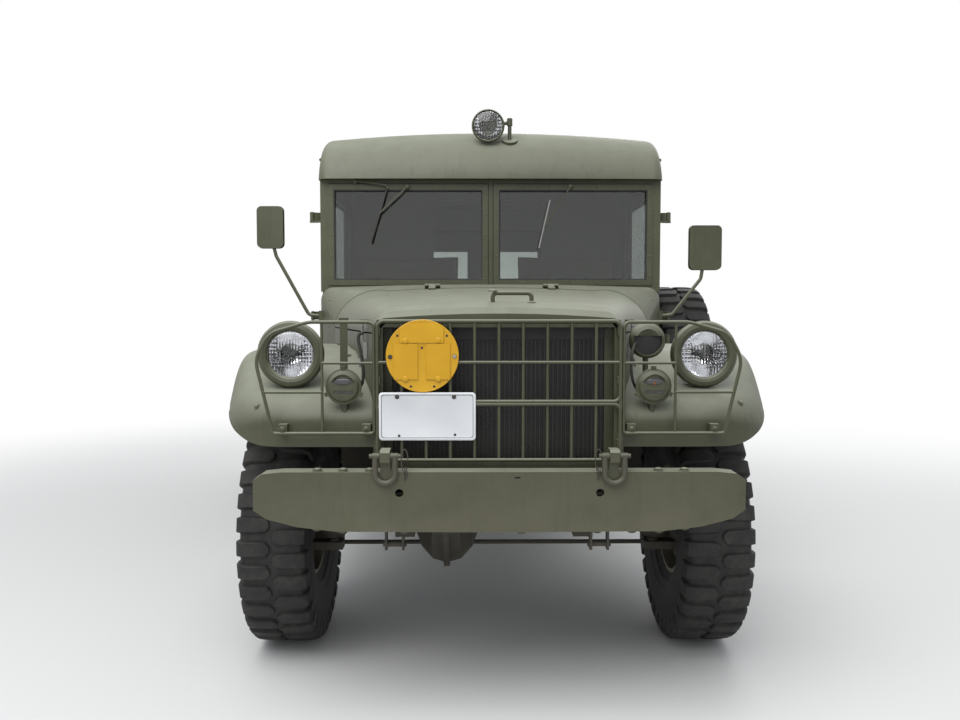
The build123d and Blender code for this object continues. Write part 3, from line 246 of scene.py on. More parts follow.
OLIVE_DEEP = (0.046, 0.049, 0.024, 1)
OLIVE_FRESH = (0.069, 0.073, 0.037, 1)
body_enamel = enamel("body_enamel", OLIVE_DEEP, OLIVE_FRESH)
dress(in_slots("olive_paint"), body_enamel)
chassis_enamel = enamel("chassis_enamel", (0.017, 0.017, 0.013, 1), (0.028, 0.028, 0.022, 1), 0.12, 0.9, 0.55, 0.3)
dress(in_slots("chassis_paint"), chassis_enamel)
iron = enamel("rusty_iron", (0.028, 0.025, 0.02, 1), (0.05, 0.042, 0.034, 1), 0.15, 1.5, 0.6, 0.22)
dress(in_slots("cast_iron", "exhaust_steel"), iron)
core_black = enamel("radiator_black", (0.008, 0.008, 0.008, 1), (0.014, 0.014, 0.013, 1), 0.3, 0.2, 0.5, 0.1)
dress(in_slots("radiator_core"), core_black)


# Window glass: flat laminated panes, a faint green-grey, set in the windshield frame, doors and rear doors.
# The lamps' glasses and the mirrors are made of the same kind of clouded, smooth material.
def clouded(name, clouds, first, second, roughness, metallic=0.0, clear=0.0, bend=1.5):
    """A smooth skin that drifts between two tints; clouds are a noise and its span."""
    look = Look(name)
    fill(look.shader, {"Transmission Weight": clear, "IOR": bend})
    colour = look.mix(look.span(look.noise(*clouds[:2]), *clouds[2:]), first, second)
    if isinstance(roughness, tuple):
        roughness = look.span(look.noise(*roughness[:3]), *roughness[3:])
    return look.finish(colour, roughness, metallic)


PANE = (0.5, 0.54, 0.52, 1)
window_look = clouded("window_glass", (3, 5, 0.4, 0.7, 0, 0.5), PANE, shade(PANE, 0.85), 0.0, clear=1.0, bend=1.58)
dress(in_slots("window_glass"), window_look)


# Tyres: cross-country rubber with two staggered rows of deep bars that meet over the middle and wrap down
# onto the shoulders. One bar is shaped from the listed stations and turned round the axle by a node tree.
def new_tree(name, inputs):
    """A geometry tree with the named inputs; gives the tree, what it is given and its end."""
    tree = bpy.data.node_groups.new(name, "GeometryNodeTree")
    tree.is_modifier = True
    for label, (kind, default) in {"Geometry": ("Geometry", None), **inputs, "Material": ("Material", None)}.items():
        socket = tree.interface.new_socket(label, in_out="INPUT", socket_type="NodeSocket" + kind)
        if default is not None:
            socket.default_value = default
    tree.interface.new_socket("Geometry", in_out="OUTPUT", socket_type="NodeSocketGeometry")
    return tree, tree.nodes.new("NodeGroupInput").outputs, tree.nodes.new("NodeGroupOutput")


def close_tree(tree, given, leave, inputs):
    """Ends a tree: copies stood on points and made real, one material set."""
    copies = add_node(tree, "GeometryNodeInstanceOnPoints", inputs)
    real = add_node(tree, "GeometryNodeRealizeInstances", {0: copies})
    paint = add_node(tree, "GeometryNodeSetMaterial", {"Geometry": real, "Material": given["Material"]})
    fill(leave, {0: paint})


turned_copies, given, leave = new_tree("turned_copies", {"Count": ("Int", 34), "First angle": ("Float", 0.0)})
spots = add_node(turned_copies, "GeometryNodePoints", {"Count": given["Count"]})
index = add_node(turned_copies, "GeometryNodeInputIndex")
turn = tree_math(turned_copies, "MULTIPLY", index, tree_math(turned_copies, "DIVIDE", math.tau, given["Count"]))
turn = tree_math(turned_copies, "ADD", turn, given["First angle"])
spin = add_node(turned_copies, "ShaderNodeCombineXYZ", {"X": turn})
close_tree(turned_copies, given, leave, {"Points": spots, "Instance": given["Geometry"], "Rotation": spin})


def repeated(mesh, tree, values, look):
    """The plain mesh that a tree makes from a starting mesh."""
    carrier = bpy.data.objects.new("carrier", mesh)
    bpy.context.scene.collection.objects.link(carrier)
    step = carrier.modifiers.new("copies", "NODES")
    step.node_group = tree
    values = {**values, "Material": look}
    for socket in tree.interface.items_tree:
        if socket.in_out == "INPUT" and socket.name in values:
            step[socket.identifier] = values[socket.name]
    result = bpy.data.meshes.new_from_object(carrier.evaluated_get(bpy.context.evaluated_depsgraph_get()))
    bpy.data.objects.remove(carrier)
    return result


def circle(count, first=0.0):
    """The cosines and sines of equal turns, from a first angle on."""
    turns = [first + math.tau * n / count for n in range(count)]
    return [(math.cos(turn), math.sin(turn)) for turn in turns]


def upright(outline, y):
    """An outline given as (x, z), stood up across the truck at one y."""
    return [(x, y, z) for x, z in outline]


class Form:
    """Joined turned, bent and flat shapes, in metres, that become one piece."""

    def __init__(self, name):
        self.name = name
        self.mesh = bmesh.new()

    def rings(self, rows, close=False):
        """Skins closed rows of points, one row to the next, and caps the ends."""
        rows = [[self.mesh.verts.new(point) for point in row] for row in rows]
        for low, high in zip(rows, rows[1:] + rows[:1] if close else rows[1:]):
            for n in range(len(low)):
                m = (n + 1) % len(low)
                self.mesh.faces.new((low[n], low[m], high[m], high[n]))
        if not close:
            self.mesh.faces.new(rows[0][::-1])
            self.mesh.faces.new(rows[-1])

    def turned(self, place, axis, section, sides=32, close=False):
        """Turns (along, radius) points about an axis through the place."""
        axis = Vector(axis).normalized()
        side = axis.orthogonal().normalized()
        other = axis.cross(side)
        self.rings([[Vector(place) + axis * along + (side * c + other * s) * max(radius, 0.00002)
                     for c, s in circle(sides)] for along, radius in section], close)

    def slab(self, one, other, turn=Matrix.Identity(3), about=(0, 0, 0)):
        """A box between two opposite corners, turned about a point."""
        (x0, x1), (y0, y1), (z0, z1) = [sorted(pair) for pair in zip(one, other)]
        about = Vector(about)
        self.rings([[turn @ (Vector((x, y, z)) - about) + about
                     for x, y in ((x0, y0), (x1, y0), (x1, y1), (x0, y1))] for z in (z0, z1)])

    def plate(self, outline, y_front, y_back):
        self.rings([upright(outline, y_front), upright(outline, y_back)])

    def pipe(self, path, radius, sides=12, bend=0.0):
        """A round bar along a path, its corners bent over the given length."""
        path = [Vector(point) for point in path]
        if bend:
            smooth = [path[0]]
            for before, corner, after in zip(path, path[1:], path[2:]):
                enter, leave = [corner + (end - corner).normalized() * min(bend, (end - corner).length / 2)
                                for end in (before, after)]
                for t in (0, 0.2, 0.4, 0.6, 0.8, 1):
                    smooth.append(enter * (1 - t) ** 2 + corner * 2 * t * (1 - t) + leave * t ** 2)
            path = smooth + [path[-1]]
        ahead = [(b - a).normalized() for a, b in zip(path, path[1:])]
        side = ahead[0].orthogonal().normalized()
        rows = []
        for n, point in enumerate(path):
            along = (ahead[max(n - 1, 0)] + ahead[min(n, len(ahead) - 1)]).normalized()
            side = (side - along * side.dot(along)).normalized()
            other = along.cross(side)
            rows.append([point + (side * c + other * s) * radius for c, s in circle(sides)])
        self.rings(rows)

    def plain(self):
        """The shapes as one mesh, all faces that aren't tagged turned to point outwards."""
        bmesh.ops.recalc_face_normals(self.mesh, faces=[face for face in self.mesh.faces if not face.tag])
        mesh = bpy.data.meshes.new(self.name)
        self.mesh.to_mesh(mesh)
        self.mesh.free()
        return mesh

    def stand(self, look, body="chassis", slot="olive_paint", **details):
        """Turns the shapes into one object that rides on a body."""
        mesh = self.plain()
        mesh.materials.append(look)
        return place_piece(mesh, self.name, body, slot, **details)


def place_piece(mesh, name, body, slot, sharp=35, bevel=0.0, replaces=()):
    mesh.shade_smooth()
    mesh.set_sharp_from_angle(angle=math.radians(sharp))
    piece = bpy.data.objects.new(name, mesh)
    bpy.context.scene.collection.objects.link(piece)
    if bevel:
        edge = piece.modifiers.new("rounded_edges", "BEVEL")
        edge.width = bevel
        edge.segments = 1
        edge.limit_method = "ANGLE"
    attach(piece, body)
    if replaces:
        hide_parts(*replaces)
    return piece


def rubber_look():
    """Black rubber greyed by road dust."""
    look = Look("tyre_rubber")
    clouds = look.noise(9, 6, 0.6)
    grain = look.noise(260, 3, 0.6)
    colour = look.mix(look.span(clouds, 0.35, 0.65), (0.009, 0.009, 0.009, 1), (0.015, 0.015, 0.0145, 1))
    dust = look.math("MULTIPLY", look.span(look.noise(24, 8, 0.7), 0.42, 0.72),
                     look.span(clouds, 0.3, 0.7, 0.1, 0.5))
    colour = look.mix(dust, colour, (0.075, 0.069, 0.058, 1))
    look.bump(grain, 0.0006, 0.5)
    return look.finish(colour, look.span(grain, 0.3, 0.7, 0.62, 0.82))


BARS = 34
BAR_TURN = math.tau / BARS * 0.31
SHOULDER = 0.11
# The carcass from the bead out, x and radius, and one bar's stations: x, top, foot, share of its full width
CARCASS = [(0.08, 0.207), (0.086, 0.214), (0.088, 0.224), (0.101, 0.243), (0.105, 0.244), (0.113, 0.276),
           (0.1165, 0.279), (0.1205, 0.315), (0.1225, 0.345), (0.121, 0.378), (0.117, 0.402), (0.1135, 0.418),
           (0.1105, 0.432), (0.101, 0.446), (0.08, 0.4505), (0.04, 0.452), (0.0, 0.4525)]
BAR = [(0.004, 0.462, 0.448, 0.35), (0.017, 0.4645, 0.448, 0.92), (0.04, 0.465, 0.448, 1.0),
       (0.08, 0.4638, 0.446, 1.0), (0.106, 0.4605, 0.441, 1.02), (0.1185, 0.452, 0.43, 1.04),
       (0.1235, 0.436, 0.414, 1.04), (0.1238, 0.414, 0.396, 0.98), (0.1222, 0.393, 0.384, 0.8)]


def tyre_mesh(look):
    bar = Form("bar")
    for side, stagger in ((1, 0), (-1, math.pi / BARS)):
        rows = []
        for x, top, foot, width in BAR:
            root = x - (0.012 if x > SHOULDER else 0.0)
            half = BAR_TURN * width
            corners = ((-1.16, foot, root), (1.16, foot, root), (0.92, top, x), (-0.92, top, x))
            rows.append([(side * across, radius * math.sin(half * share + stagger),
                          radius * math.cos(half * share + stagger)) for share, radius, across in corners])
        bar.rings(rows)
    bars = repeated(bar.plain(), turned_copies, {"Count": BARS, "First angle": 0.0}, look)
    whole = Form("tyre")
    section = CARCASS + [(-x, radius) for x, radius in CARCASS[-2::-1]]
    whole.turned((0, 0, 0), (1, 0, 0), section, sides=3 * BARS, close=True)
    whole.mesh.from_mesh(bars)
    mesh = whole.plain()
    mesh.materials.append(look)
    mesh.polygons.foreach_set("material_index", [0] * len(mesh.polygons))
    return mesh


def middle_of(node):
    low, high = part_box(node)
    return (Vector(low) + Vector(high)) / 2


WHEELS = {"front_left": 1, "front_right": -1, "rear_left": 1, "rear_right": -1}
rubber = rubber_look()
tyre_shape = tyre_mesh(rubber)
for node, body in [("tyre_" + name, "wheel_" + name) for name in WHEELS] + [("spare_tyre", "spare_carrier")]:
    middle = middle_of(node)
    turn = Matrix.Rotation(math.radians(middle.y * 40 + middle.x * 7), 4, "X")
    mesh = tyre_shape.copy()
    mesh.transform(Matrix.Translation(middle) @ turn)
    if node != "spare_tyre":
        lowest = min(vertex.co.z for vertex in mesh.vertices)
        mesh.transform(Matrix.Translation((0, 0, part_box(node)[0][2] - lowest)))
    place_piece(mesh, "lugged_" + node, body, "tyre_rubber", 30, 0.0018, (node,))
    dress([node], rubber)


# Bolts, nuts and rivets: steel, painted over with the plates. Each group is a list of places on the plates,
# found by looking along an axis until the plate is met; a node tree stands a head on each place.
def stand_on_places(tree, given, leave, shape):
    """Ends a tree that stands a shape on each vertex, its top along the vertex's aim."""
    aim = add_node(tree, "GeometryNodeInputNamedAttribute", {"Name": "aim"}, data_type="FLOAT_VECTOR")
    align = add_node(tree, "FunctionNodeAlignRotationToVector", {"Vector": aim.outputs["Attribute"]}, axis="Z")
    close_tree(tree, given, leave, {"Points": given["Geometry"], "Instance": shape, "Rotation": align})


FLATS_TO_RADIUS = 1.732
hex_heads, given, leave = new_tree("hex_heads", {
    "Across flats": ("Float", 0.018), "Head height": ("Float", 0.009), "Washer radius": ("Float", 0.014)})
head = add_node(hex_heads, "GeometryNodeMeshCylinder", {
    "Vertices": 6, "Depth": given["Head height"],
    "Radius": tree_math(hex_heads, "DIVIDE", given["Across flats"], FLATS_TO_RADIUS)})
washer = add_node(hex_heads, "GeometryNodeMeshCylinder", {
    "Vertices": 18, "Depth": 0.004, "Radius": given["Washer radius"]})
crown = add_node(hex_heads, "GeometryNodeMeshUVSphere", {
    "Segments": 12, "Rings": 6, "Radius": tree_math(hex_heads, "MULTIPLY", given["Across flats"], 0.46)})
half_height = tree_math(hex_heads, "MULTIPLY", given["Head height"], 0.5)
lift = add_node(hex_heads, "ShaderNodeCombineXYZ", {"Z": half_height})
lifted = add_node(hex_heads, "GeometryNodeTransform", {"Geometry": head, "Translation": lift})
top = add_node(hex_heads, "ShaderNodeCombineXYZ", {"Z": given["Head height"]})
flat_crown = add_node(hex_heads, "GeometryNodeTransform", {
    "Geometry": crown, "Translation": top, "Scale": (1, 1, 0.3)})
whole_head = hex_heads.nodes.new("GeometryNodeJoinGeometry")
for source in (lifted, washer, flat_crown):
    fill(whole_head, {0: source})
stand_on_places(hex_heads, given, leave, whole_head)

rivet_heads, given, leave = new_tree("rivet_heads", {"Head radius": ("Float", 0.005)})
ball = add_node(rivet_heads, "GeometryNodeMeshUVSphere", {
    "Segments": 10, "Rings": 6, "Radius": given["Head radius"]})
flat_ball = add_node(rivet_heads, "GeometryNodeTransform", {"Geometry": ball, "Scale": (1, 1, 0.6)})
stand_on_places(rivet_heads, given, leave, flat_ball)


def found(node, start, direction):
    """Where a line from the start first meets a CAD node, and that plate's outward direction."""
    hit, place, normal, face = nodes[node].ray_cast(Vector(start), Vector(direction).normalized())
    if not hit:
        raise ValueError(f"nothing of {node} lies from {start} along {direction}")
    return place, (normal if normal.dot(Vector(direction)) < 0 else -normal)


def beside(node, side, y, z):
    """The place met by looking straight in from the truck's left (side 1) or right (side -1)."""
    return found(node, (side * OUTSIDE, y, z), (-side, 0, 0))


def fasteners(name, places, tree, sizes, look, body):
    mesh = bpy.data.meshes.new(name)
    mesh.from_pydata([place for place, aim in places], [], [])
    aims = mesh.attributes.new("aim", "FLOAT_VECTOR", "POINT")
    for item, (place, aim) in zip(aims.data, places):
        item.vector = aim
    place_piece(repeated(mesh, tree, sizes, look), name, body, "olive_paint")


def bolts(name, places, across, height, washer, look=body_enamel, body="chassis"):
    fasteners(name, places, hex_heads, {"Across flats": across, "Head height": height, "Washer radius": washer},
              look, body)


def rivets(name, places, radius=0.0048, body="chassis"):
    fasteners(name, places, rivet_heads, {"Head radius": radius}, body_enamel, body)


AFT, FORE = (0, 1, 0), (0, -1, 0)
UP, DOWN = (0, 0, 1), (0, 0, -1)
SIDES = (("left", 1), ("right", -1))
BEFORE, BEHIND, OUTSIDE, OVERHEAD = -3.0, 2.8, 1.3, 1.6
BUMPER_Y = -2.502
places = [found("front_bumper", (x, BUMPER_Y, 1.0), DOWN) for x in (-0.561, -0.482, -0.4, 0.49, 0.57)]
places += [found("front_bumper", (x, BUMPER_Y, 0.4), UP)
           for x in (-0.564, -0.484, -0.294, 0.068, 0.302, 0.41, 0.493, 0.573)]
bolts("bumper_bolts", places, 0.024, 0.007, 0.018)
places = [found("grille_guard", (side * x, BEFORE, 0.92), AFT) for side in (-1, 1) for x in (0.42, 0.684)]
places += [found(node, (x, BEFORE, z), AFT)
           for node, x, z in (("fender_right", -0.784, 0.983), ("fender_left", 0.794, 0.991))]
bolts("nose_bolts", places, 0.016, 0.006, 0.012)
shackle_enamel = enamel("shackle_enamel", (0.04, 0.04, 0.024, 1), (0.06, 0.055, 0.036, 1), 0.3, 1.5, 0.5, 0.4)
dress(["tow_shackles"], shackle_enamel)


# Signs: a stamped licence plate, enamelled white and left blank, and a yellow class disc with a holder and
# two blank number panels held by clips. Both are screwed to the bars of the guard.
def rounded(half_x, half_z, corner, x=0.0, z=0.0, steps=5):
    """An upright rectangle with round corners, as (x, z)."""
    outline = []
    for quarter, (sx, sz) in enumerate(((1, 1), (-1, 1), (-1, -1), (1, -1))):
        for step in range(steps + 1):
            angle = math.pi / 2 * (quarter + step / steps)
            outline.append((x + sx * (half_x - corner) + corner * math.cos(angle),
                            z + sz * (half_z - corner) + corner * math.sin(angle)))
    return outline


def sign_enamel(name, deep, fresh):
    """Clean gloss enamel with faint clouding and small specks."""
    look = Look(name)
    colour = look.mix(look.span(look.noise(9, 5), 0.35, 0.65), deep, fresh)
    colour = look.mix(look.span(look.noise(120, 6, 0.7), 0.68, 0.74, 0, 0.6), colour, shade(deep, 0.4))
    return look.finish(colour, look.span(look.noise(30, 4), 0.3, 0.7, 0.28, 0.42))


sign_yellow = sign_enamel("sign_yellow", (0.53, 0.28, 0.004, 1), (0.58, 0.32, 0.006, 1))
sign_white = sign_enamel("sign_white", (0.66, 0.67, 0.7, 1), (0.72, 0.73, 0.75, 1))
sign_line = enamel("sign_line", (0.03, 0.03, 0.045, 1), (0.05, 0.05, 0.07, 1), 0.0, 0.1, 0.4, 0)
PLATE_X, PLATE_Z = -0.226, 0.96
PLATE_FACE = -2.4316


def plate_edge(inset, corner):
    return rounded(0.1525 - inset, 0.076 - inset, corner, PLATE_X, PLATE_Z)


plate = Form("licence_plate")
plate.rings([upright(plate_edge(inset, 0.011 - inset * 0.5), y) for y, inset in (
    (-2.4301, 0.0), (-2.4318, 0.0), (-2.4336, 0.0025), (-2.4336, 0.0055), (-2.4322, 0.0075))])
plate.stand(sign_white, slot="sign_paint", replaces=("sign_plates",))
dress(["sign_plates"], sign_white)
line = Form("licence_plate_line")
line.rings([upright(plate_edge(inset, 0.008), y) for inset, y in (
    (0.0076, -2.4321), (0.0076, -2.4325), (0.0092, -2.4325), (0.0092, -2.4321))], close=True)
line.stand(sign_line, slot="sign_paint")

DISC_X, DISC_Z = -0.241, 1.151
DISC_FACE = -2.4345
disc = Form("class_disc")
disc.turned((DISC_X, -2.4295, DISC_Z), FORE, [
    (0, 0), (0, 0.1135), (0.001, 0.1145), (0.005, 0.1145), (0.0065, 0.1125), (0.0055, 0.109), (0.0055, 0)], 64)
holder = [(-0.07, 0.041), (0.067, 0.041), (0.067, 0.09), (0.045, 0.102), (-0.048, 0.102), (-0.07, 0.088)]
disc.plate([(DISC_X + x, DISC_Z + z) for x, z in holder], -2.4382, DISC_FACE)
for x0, x1 in ((-0.089, -0.014), (0.012, 0.087)):
    panel = ((x0, -0.074), (x1, -0.074), (x1, 0.0385), (x0, 0.0385))
    disc.plate([(DISC_X + x, DISC_Z + z) for x, z in panel], -2.4386, DISC_FACE)
for x, z in ((-0.053, 0.048), (0.05, 0.05), (-0.053, -0.072), (0.05, -0.072)):
    disc.turned((DISC_X + x, -2.438, DISC_Z + z), FORE, [
        (0, 0), (0, 0.0095), (0.0026, 0.0085), (0.0036, 0.005), (0.0039, 0)], 16)
disc.stand(sign_yellow, slot="sign_paint", bevel=0.0005)
holes = Form("sign_holes")
for x, z in ((-0.078, 0.0635), (0.077, 0.0635), (-0.001, 0.0255), (-0.036, -0.096), (0.037, -0.096)):
    holes.turned((DISC_X + x, -2.434, DISC_Z + z), FORE, [(0, 0), (0, 0.004), (0.0012, 0.004), (0.0012, 0)], 12)
for x, z in ((-0.315, 0.899), (-0.139, 0.902)):
    holes.turned((x, PLATE_FACE, z), FORE, [(0, 0), (0, 0.0042), (0.0009, 0.0042), (0.0009, 0)], 12)
holes.stand(core_black, slot="sign_paint")
zinc = enamel("zinc", (0.23, 0.23, 0.22, 1), (0.33, 0.33, 0.32, 1), 0.1, 0.8, 0.35, 0)
screws = Form("sign_screws")
for x, z in ((-0.321, 1.022), (-0.142, 1.022)):
    screws.turned((x, PLATE_FACE, z), FORE, [(0, 0), (0, 0.0075), (0.003, 0.0065), (0.0045, 0)], 12)
screws.turned((DISC_X - 0.101, -2.434, DISC_Z - 0.003), FORE, [
    (0, 0), (0, 0.0078), (0.003, 0.007), (0.0045, 0)], 12)
screws.stand(iron, slot="sign_paint")
bright_screw = Form("sign_bright_screw")
bright_screw.turned((DISC_X + 0.101, -2.434, DISC_Z - 0.0015), FORE, [
    (0, 0), (0, 0.0088), (0.001, 0.0088), (0.001, 0.0062), (0.005, 0.0055), (0.006, 0)], 12)
bright_screw.stand(zinc, slot="sign_paint")


# Headlamps and searchlight: sealed beams of moulded glass over a silvered bowl, their fine flutes pressed on
# the inner face, a small dark cap over the filament. They sit in the painted steel buckets.
lamp_glass = clouded("lamp_glass", (60, 4, 0.4, 0.7, 0, 0.4), (0.93, 0.94, 0.95, 1), (0.8, 0.82, 0.82, 1),
                     (45, 6, 0.7, 0.4, 0.75, 0.0, 0.08), clear=1.0, bend=1.45)
silver = clouded("silvered_bowl", (30, 5, 0.35, 0.7, 0, 0.5), (0.86, 0.86, 0.88, 1), (0.6, 0.61, 0.63, 1),
                 (80, 4, 0.55, 0.3, 0.7, 0.05, 0.14), 1.0)
dress(["lamp_lenses"], lamp_glass)


def fluted_lens(form, place, radius, rise, flute):
    """A domed glass, smooth outside, its inner face waved in upright and, in parts, level flutes."""
    steps = 22
    rows = []
    for inside, order in ((False, range(steps + 1)), (True, range(steps, -1, -1))):
        for step in order:
            r = max(radius * math.sin(math.pi / 2 * step / steps), 0.0003)
            row = []
            for x, z in [(r * c, r * s) for c, s in circle(150)]:
                y = -rise * math.cos(math.pi / 2 * step / steps)
                if inside:
                    depth = 0.0012 if abs(z) < radius * 0.4 else 0.00072
                    y += 0.004 + depth * math.sin(math.tau * x / flute)
                    if -0.55 * radius < z < -0.1 * radius or abs(x) > 0.62 * radius:
                        y += 0.0008 * math.sin(math.tau * z / (1.3 * flute))
                row.append((place[0] + x, place[1] + y, place[2] + z))
            rows.append(row)
    form.rings(rows)


lenses = Form("fluted_lenses")
bowls = Form("silvered_bowls")
caps = Form("filament_caps")
HEADLAMP = (-2.285, 1.149, 0.0753, 0.012, 0.0095, 0.0745, 0.058)
for x, y, z, radius, rise, flute, wide, deep in (
        (-0.685, *HEADLAMP), (0.685, *HEADLAMP), (-0.012, -1.092, 2.142, 0.0663, 0.008, 0.012, 0.0655, 0.048)):
    fluted_lens(lenses, (x, y + 0.003, z), radius, rise, flute)
    inner = [(0.009 + deep * (1 - share ** 2), wide * share) for share in (0.0, 0.3, 0.55, 0.78, 0.92, 1)]
    outer = [(along + 0.0016, r) for along, r in reversed(inner)]
    bowls.turned((x, y, z), AFT, inner + outer, sides=48)
    caps.turned((x, y + 0.026, z), AFT, [
        (-0.01, 0), (-0.01, 0.008), (-0.004, 0.0125), (0.006, 0.0125), (0.006, 0.005), (0.03, 0.004), (0.03, 0)], 20)
    caps.slab((x - 0.024, y + 0.024, z - 0.0045), (x + 0.024, y + 0.028, z + 0.0015))
lenses.stand(lamp_glass, slot="window_glass", replaces=("lamp_lenses",))
bowls.stand(silver)
caps.stand(chassis_enamel)


# Small lamps: smoked glass in the eye and slot of the marker lamps, with an amber bulb in the driver's side
# one, a dark disc under the hooded lamp's visor and red glasses over the tail lamps, each in its drum.
def tinted_glass(name, tint, clear):
    return clouded(name, (70, 4, 0.35, 0.7, 0, 0.6), tint, shade(tint, 0.6), (50, 5, 0.55, 0.35, 0.7, 0.08, 0.22),
                   clear=clear, bend=1.45)


smoked = tinted_glass("smoked_glass", (0.1, 0.095, 0.095, 1), 0.2)
amber = tinted_glass("amber_glass", (0.3, 0.085, 0.03, 1), 0.2)
tail_red = tinted_glass("tail_glass", (0.36, 0.012, 0.008, 1), 0.25)
MARKER_X, MARKER_Y, MARKER_Z = 0.493, -2.418, 1.052
glasses = Form("marker_glasses")
for x in (-MARKER_X, MARKER_X):
    glasses.rings([[(x + 0.0305 * share * c, MARKER_Y + back, MARKER_Z + 0.017 + 0.0115 * share * s)
                    for c, s in circle(28)] for back, share in (
        (0.0046, 1.0), (0.0012, 1.0), (-0.0012, 0.8), (-0.0026, 0.45), (-0.003, 0.02))])
    glasses.slab((x - 0.0315, MARKER_Y + 0.0015, MARKER_Z - 0.0205),
                 (x + 0.0315, MARKER_Y + 0.0046, MARKER_Z - 0.0125))
    for step in range(9):
        at = x - 0.028 + step * 0.007
        glasses.slab((at - 0.001, MARKER_Y + 0.0004, MARKER_Z - 0.0203),
                     (at + 0.001, MARKER_Y + 0.002, MARKER_Z - 0.0127))
glasses.stand(smoked, bevel=0.0006)
amber_eye = Form("marker_bulbs")
amber_eye.turned((MARKER_X, MARKER_Y - 0.0014, MARKER_Z + 0.0115), FORE, [
    (0, 0), (0, 0.0055), (0.0016, 0.004), (0.002, 0)], 12)
amber_eye.stand(amber)
dark_face = Form("hooded_lamp_face")
dark_face.turned((0.484, -2.338, 1.196), FORE, [
    (0, 0), (0, 0.0465), (0.003, 0.0465), (0.003, 0.042), (0.005, 0.028), (0.006, 0)], 40)
dark_face.stand(core_black)
tail_glasses = Form("tail_glasses")
for x in (-0.715, 0.715):
    tail_glasses.turned((x, 2.4405, 1.0), AFT, [(0, 0), (0, 0.043), (0.004, 0.042), (0.008, 0.032), (0.0095, 0)])
    tail_glasses.turned((x, 2.4475, 1.0), AFT, [
        (0, 0.028), (0, 0.031), (0.0025, 0.0305), (0.0025, 0.0285)], close=True)
tail_glasses.stand(tail_red)


# Radiator core: flat upright tubes with thin cross fins over the black core, and an olive baffle each side
# that leads the air in from the nose. Tubes and fins are one strip each, repeated in a row by a node tree.
row_copies, given, leave = new_tree("row_copies", {"Count": ("Int", 10), "Step": ("Vector", (0, 0, 0.01))})
line_up = add_node(row_copies, "GeometryNodeMeshLine", {"Count": given["Count"], "Offset": given["Step"]})
close_tree(row_copies, given, leave, {"Points": line_up, "Instance": given["Geometry"]})


def row_of(name, low, high, count, step, look, slot, bevel=0.0):
    """One plain strip, repeated in a row, as a piece of the chassis."""
    strip = Form("strip")
    strip.slab(low, high)
    row = repeated(strip.plain(), row_copies, {"Count": count, "Step": step}, look)
    place_piece(row, name, "chassis", slot, bevel=bevel)


fin_black = enamel("fin_black", (0.012, 0.012, 0.011, 1), (0.02, 0.02, 0.018, 1), 0.2, 0.3, 0.45, 0.2)
row_of("radiator_tubes", (-0.333, -2.3555, 0.803), (-0.3295, -2.3495, 1.198), 48, (0.0141, 0, 0), fin_black,
       "radiator_core")
row_of("radiator_fins", (-0.336, -2.3525, 0.806), (0.336, -2.3495, 0.8066), 56, (0, 0, 0.007), fin_black,
       "radiator_core")
baffles = Form("radiator_baffles")
for side in (-1, 1):
    baffles.slab((side * 0.343, -2.347, 0.803), (side * 0.384, -2.343, 1.236))
baffles.stand(body_enamel)


# Windshield: black rubber round each pane, small round screws in the sashes, and two wipers whose painted
# arms hang from pivots over the panes. Left and right are the picture's here; a link drives the left wiper.
def rubber_ring(form, side, low, high, section, sideways=False):
    """A ring round a window between two corners, its section given as (inset, depth)."""
    (a0, b0), (a1, b1) = low, high
    rows = []
    for n, depth in section:
        edge = ((a0 + n, b0 + n), (a1 - n, b0 + n), (a1 - n, b1 - n), (a0 + n, b1 - n))
        rows.append([(side * depth, a, b) if sideways else (side * a, depth, b) for a, b in edge])
    form.rings(rows, close=True)


seal = Form("pane_seals")
for side in (-1, 1):
    rubber_ring(seal, side, (0.038, 1.434), (0.724, 1.848), (
        (0, -1.0985), (0.0065, -1.0965), (0.0065, -1.083), (0, -1.0815)))
seal_rubber = enamel("seal_rubber", (0.012, 0.012, 0.012, 1), (0.02, 0.02, 0.019, 1), 0.1, 0.0, 0.6, 0.1)
seal.stand(seal_rubber, slot="tyre_rubber")
spots = [(x, z) for x in (0.0255, 0.7365) for z in (1.452, 1.545, 1.64, 1.735, 1.83)]
spots += [(x, z) for x in (0.15, 0.27, 0.38, 0.49, 0.61) for z in (1.4215, 1.8605)]
rivets("sash_screws", [found("windshield_frame", (side * x, BEFORE, z), AFT) for side in (-1, 1) for x, z in spots],
       0.0042)
wiper = Form("wiper_arms")
wiper.pipe([(-0.384, -1.1, 1.858), (-0.384, -1.12, 1.858), (-0.388, -1.12, 1.853), (-0.509, -1.117, 1.74)],
           0.0034, 8, 0.006)
wiper.pipe([(0.366, -1.1, 1.862), (0.366, -1.121, 1.862), (0.363, -1.121, 1.856), (0.255, -1.117, 1.684)],
           0.0034, 8, 0.006)
wiper.pipe([(-0.622, -1.118, 1.884), (-0.48, -1.118, 1.866), (-0.474, -1.118, 1.855)], 0.003, 8, 0.01)
for x, z in ((-0.384, 1.858), (0.366, 1.862), (-0.622, 1.884)):
    wiper.turned((x, -1.098, z), FORE, [
        (0, 0), (0, 0.011), (0.012, 0.011), (0.014, 0.007), (0.024, 0.007), (0.026, 0)], 16)
wiper.turned((-0.474, -1.123, 1.855), AFT, [(0, 0), (0, 0.005), (0.01, 0.005), (0.01, 0)], 12)
wiper.stand(body_enamel)
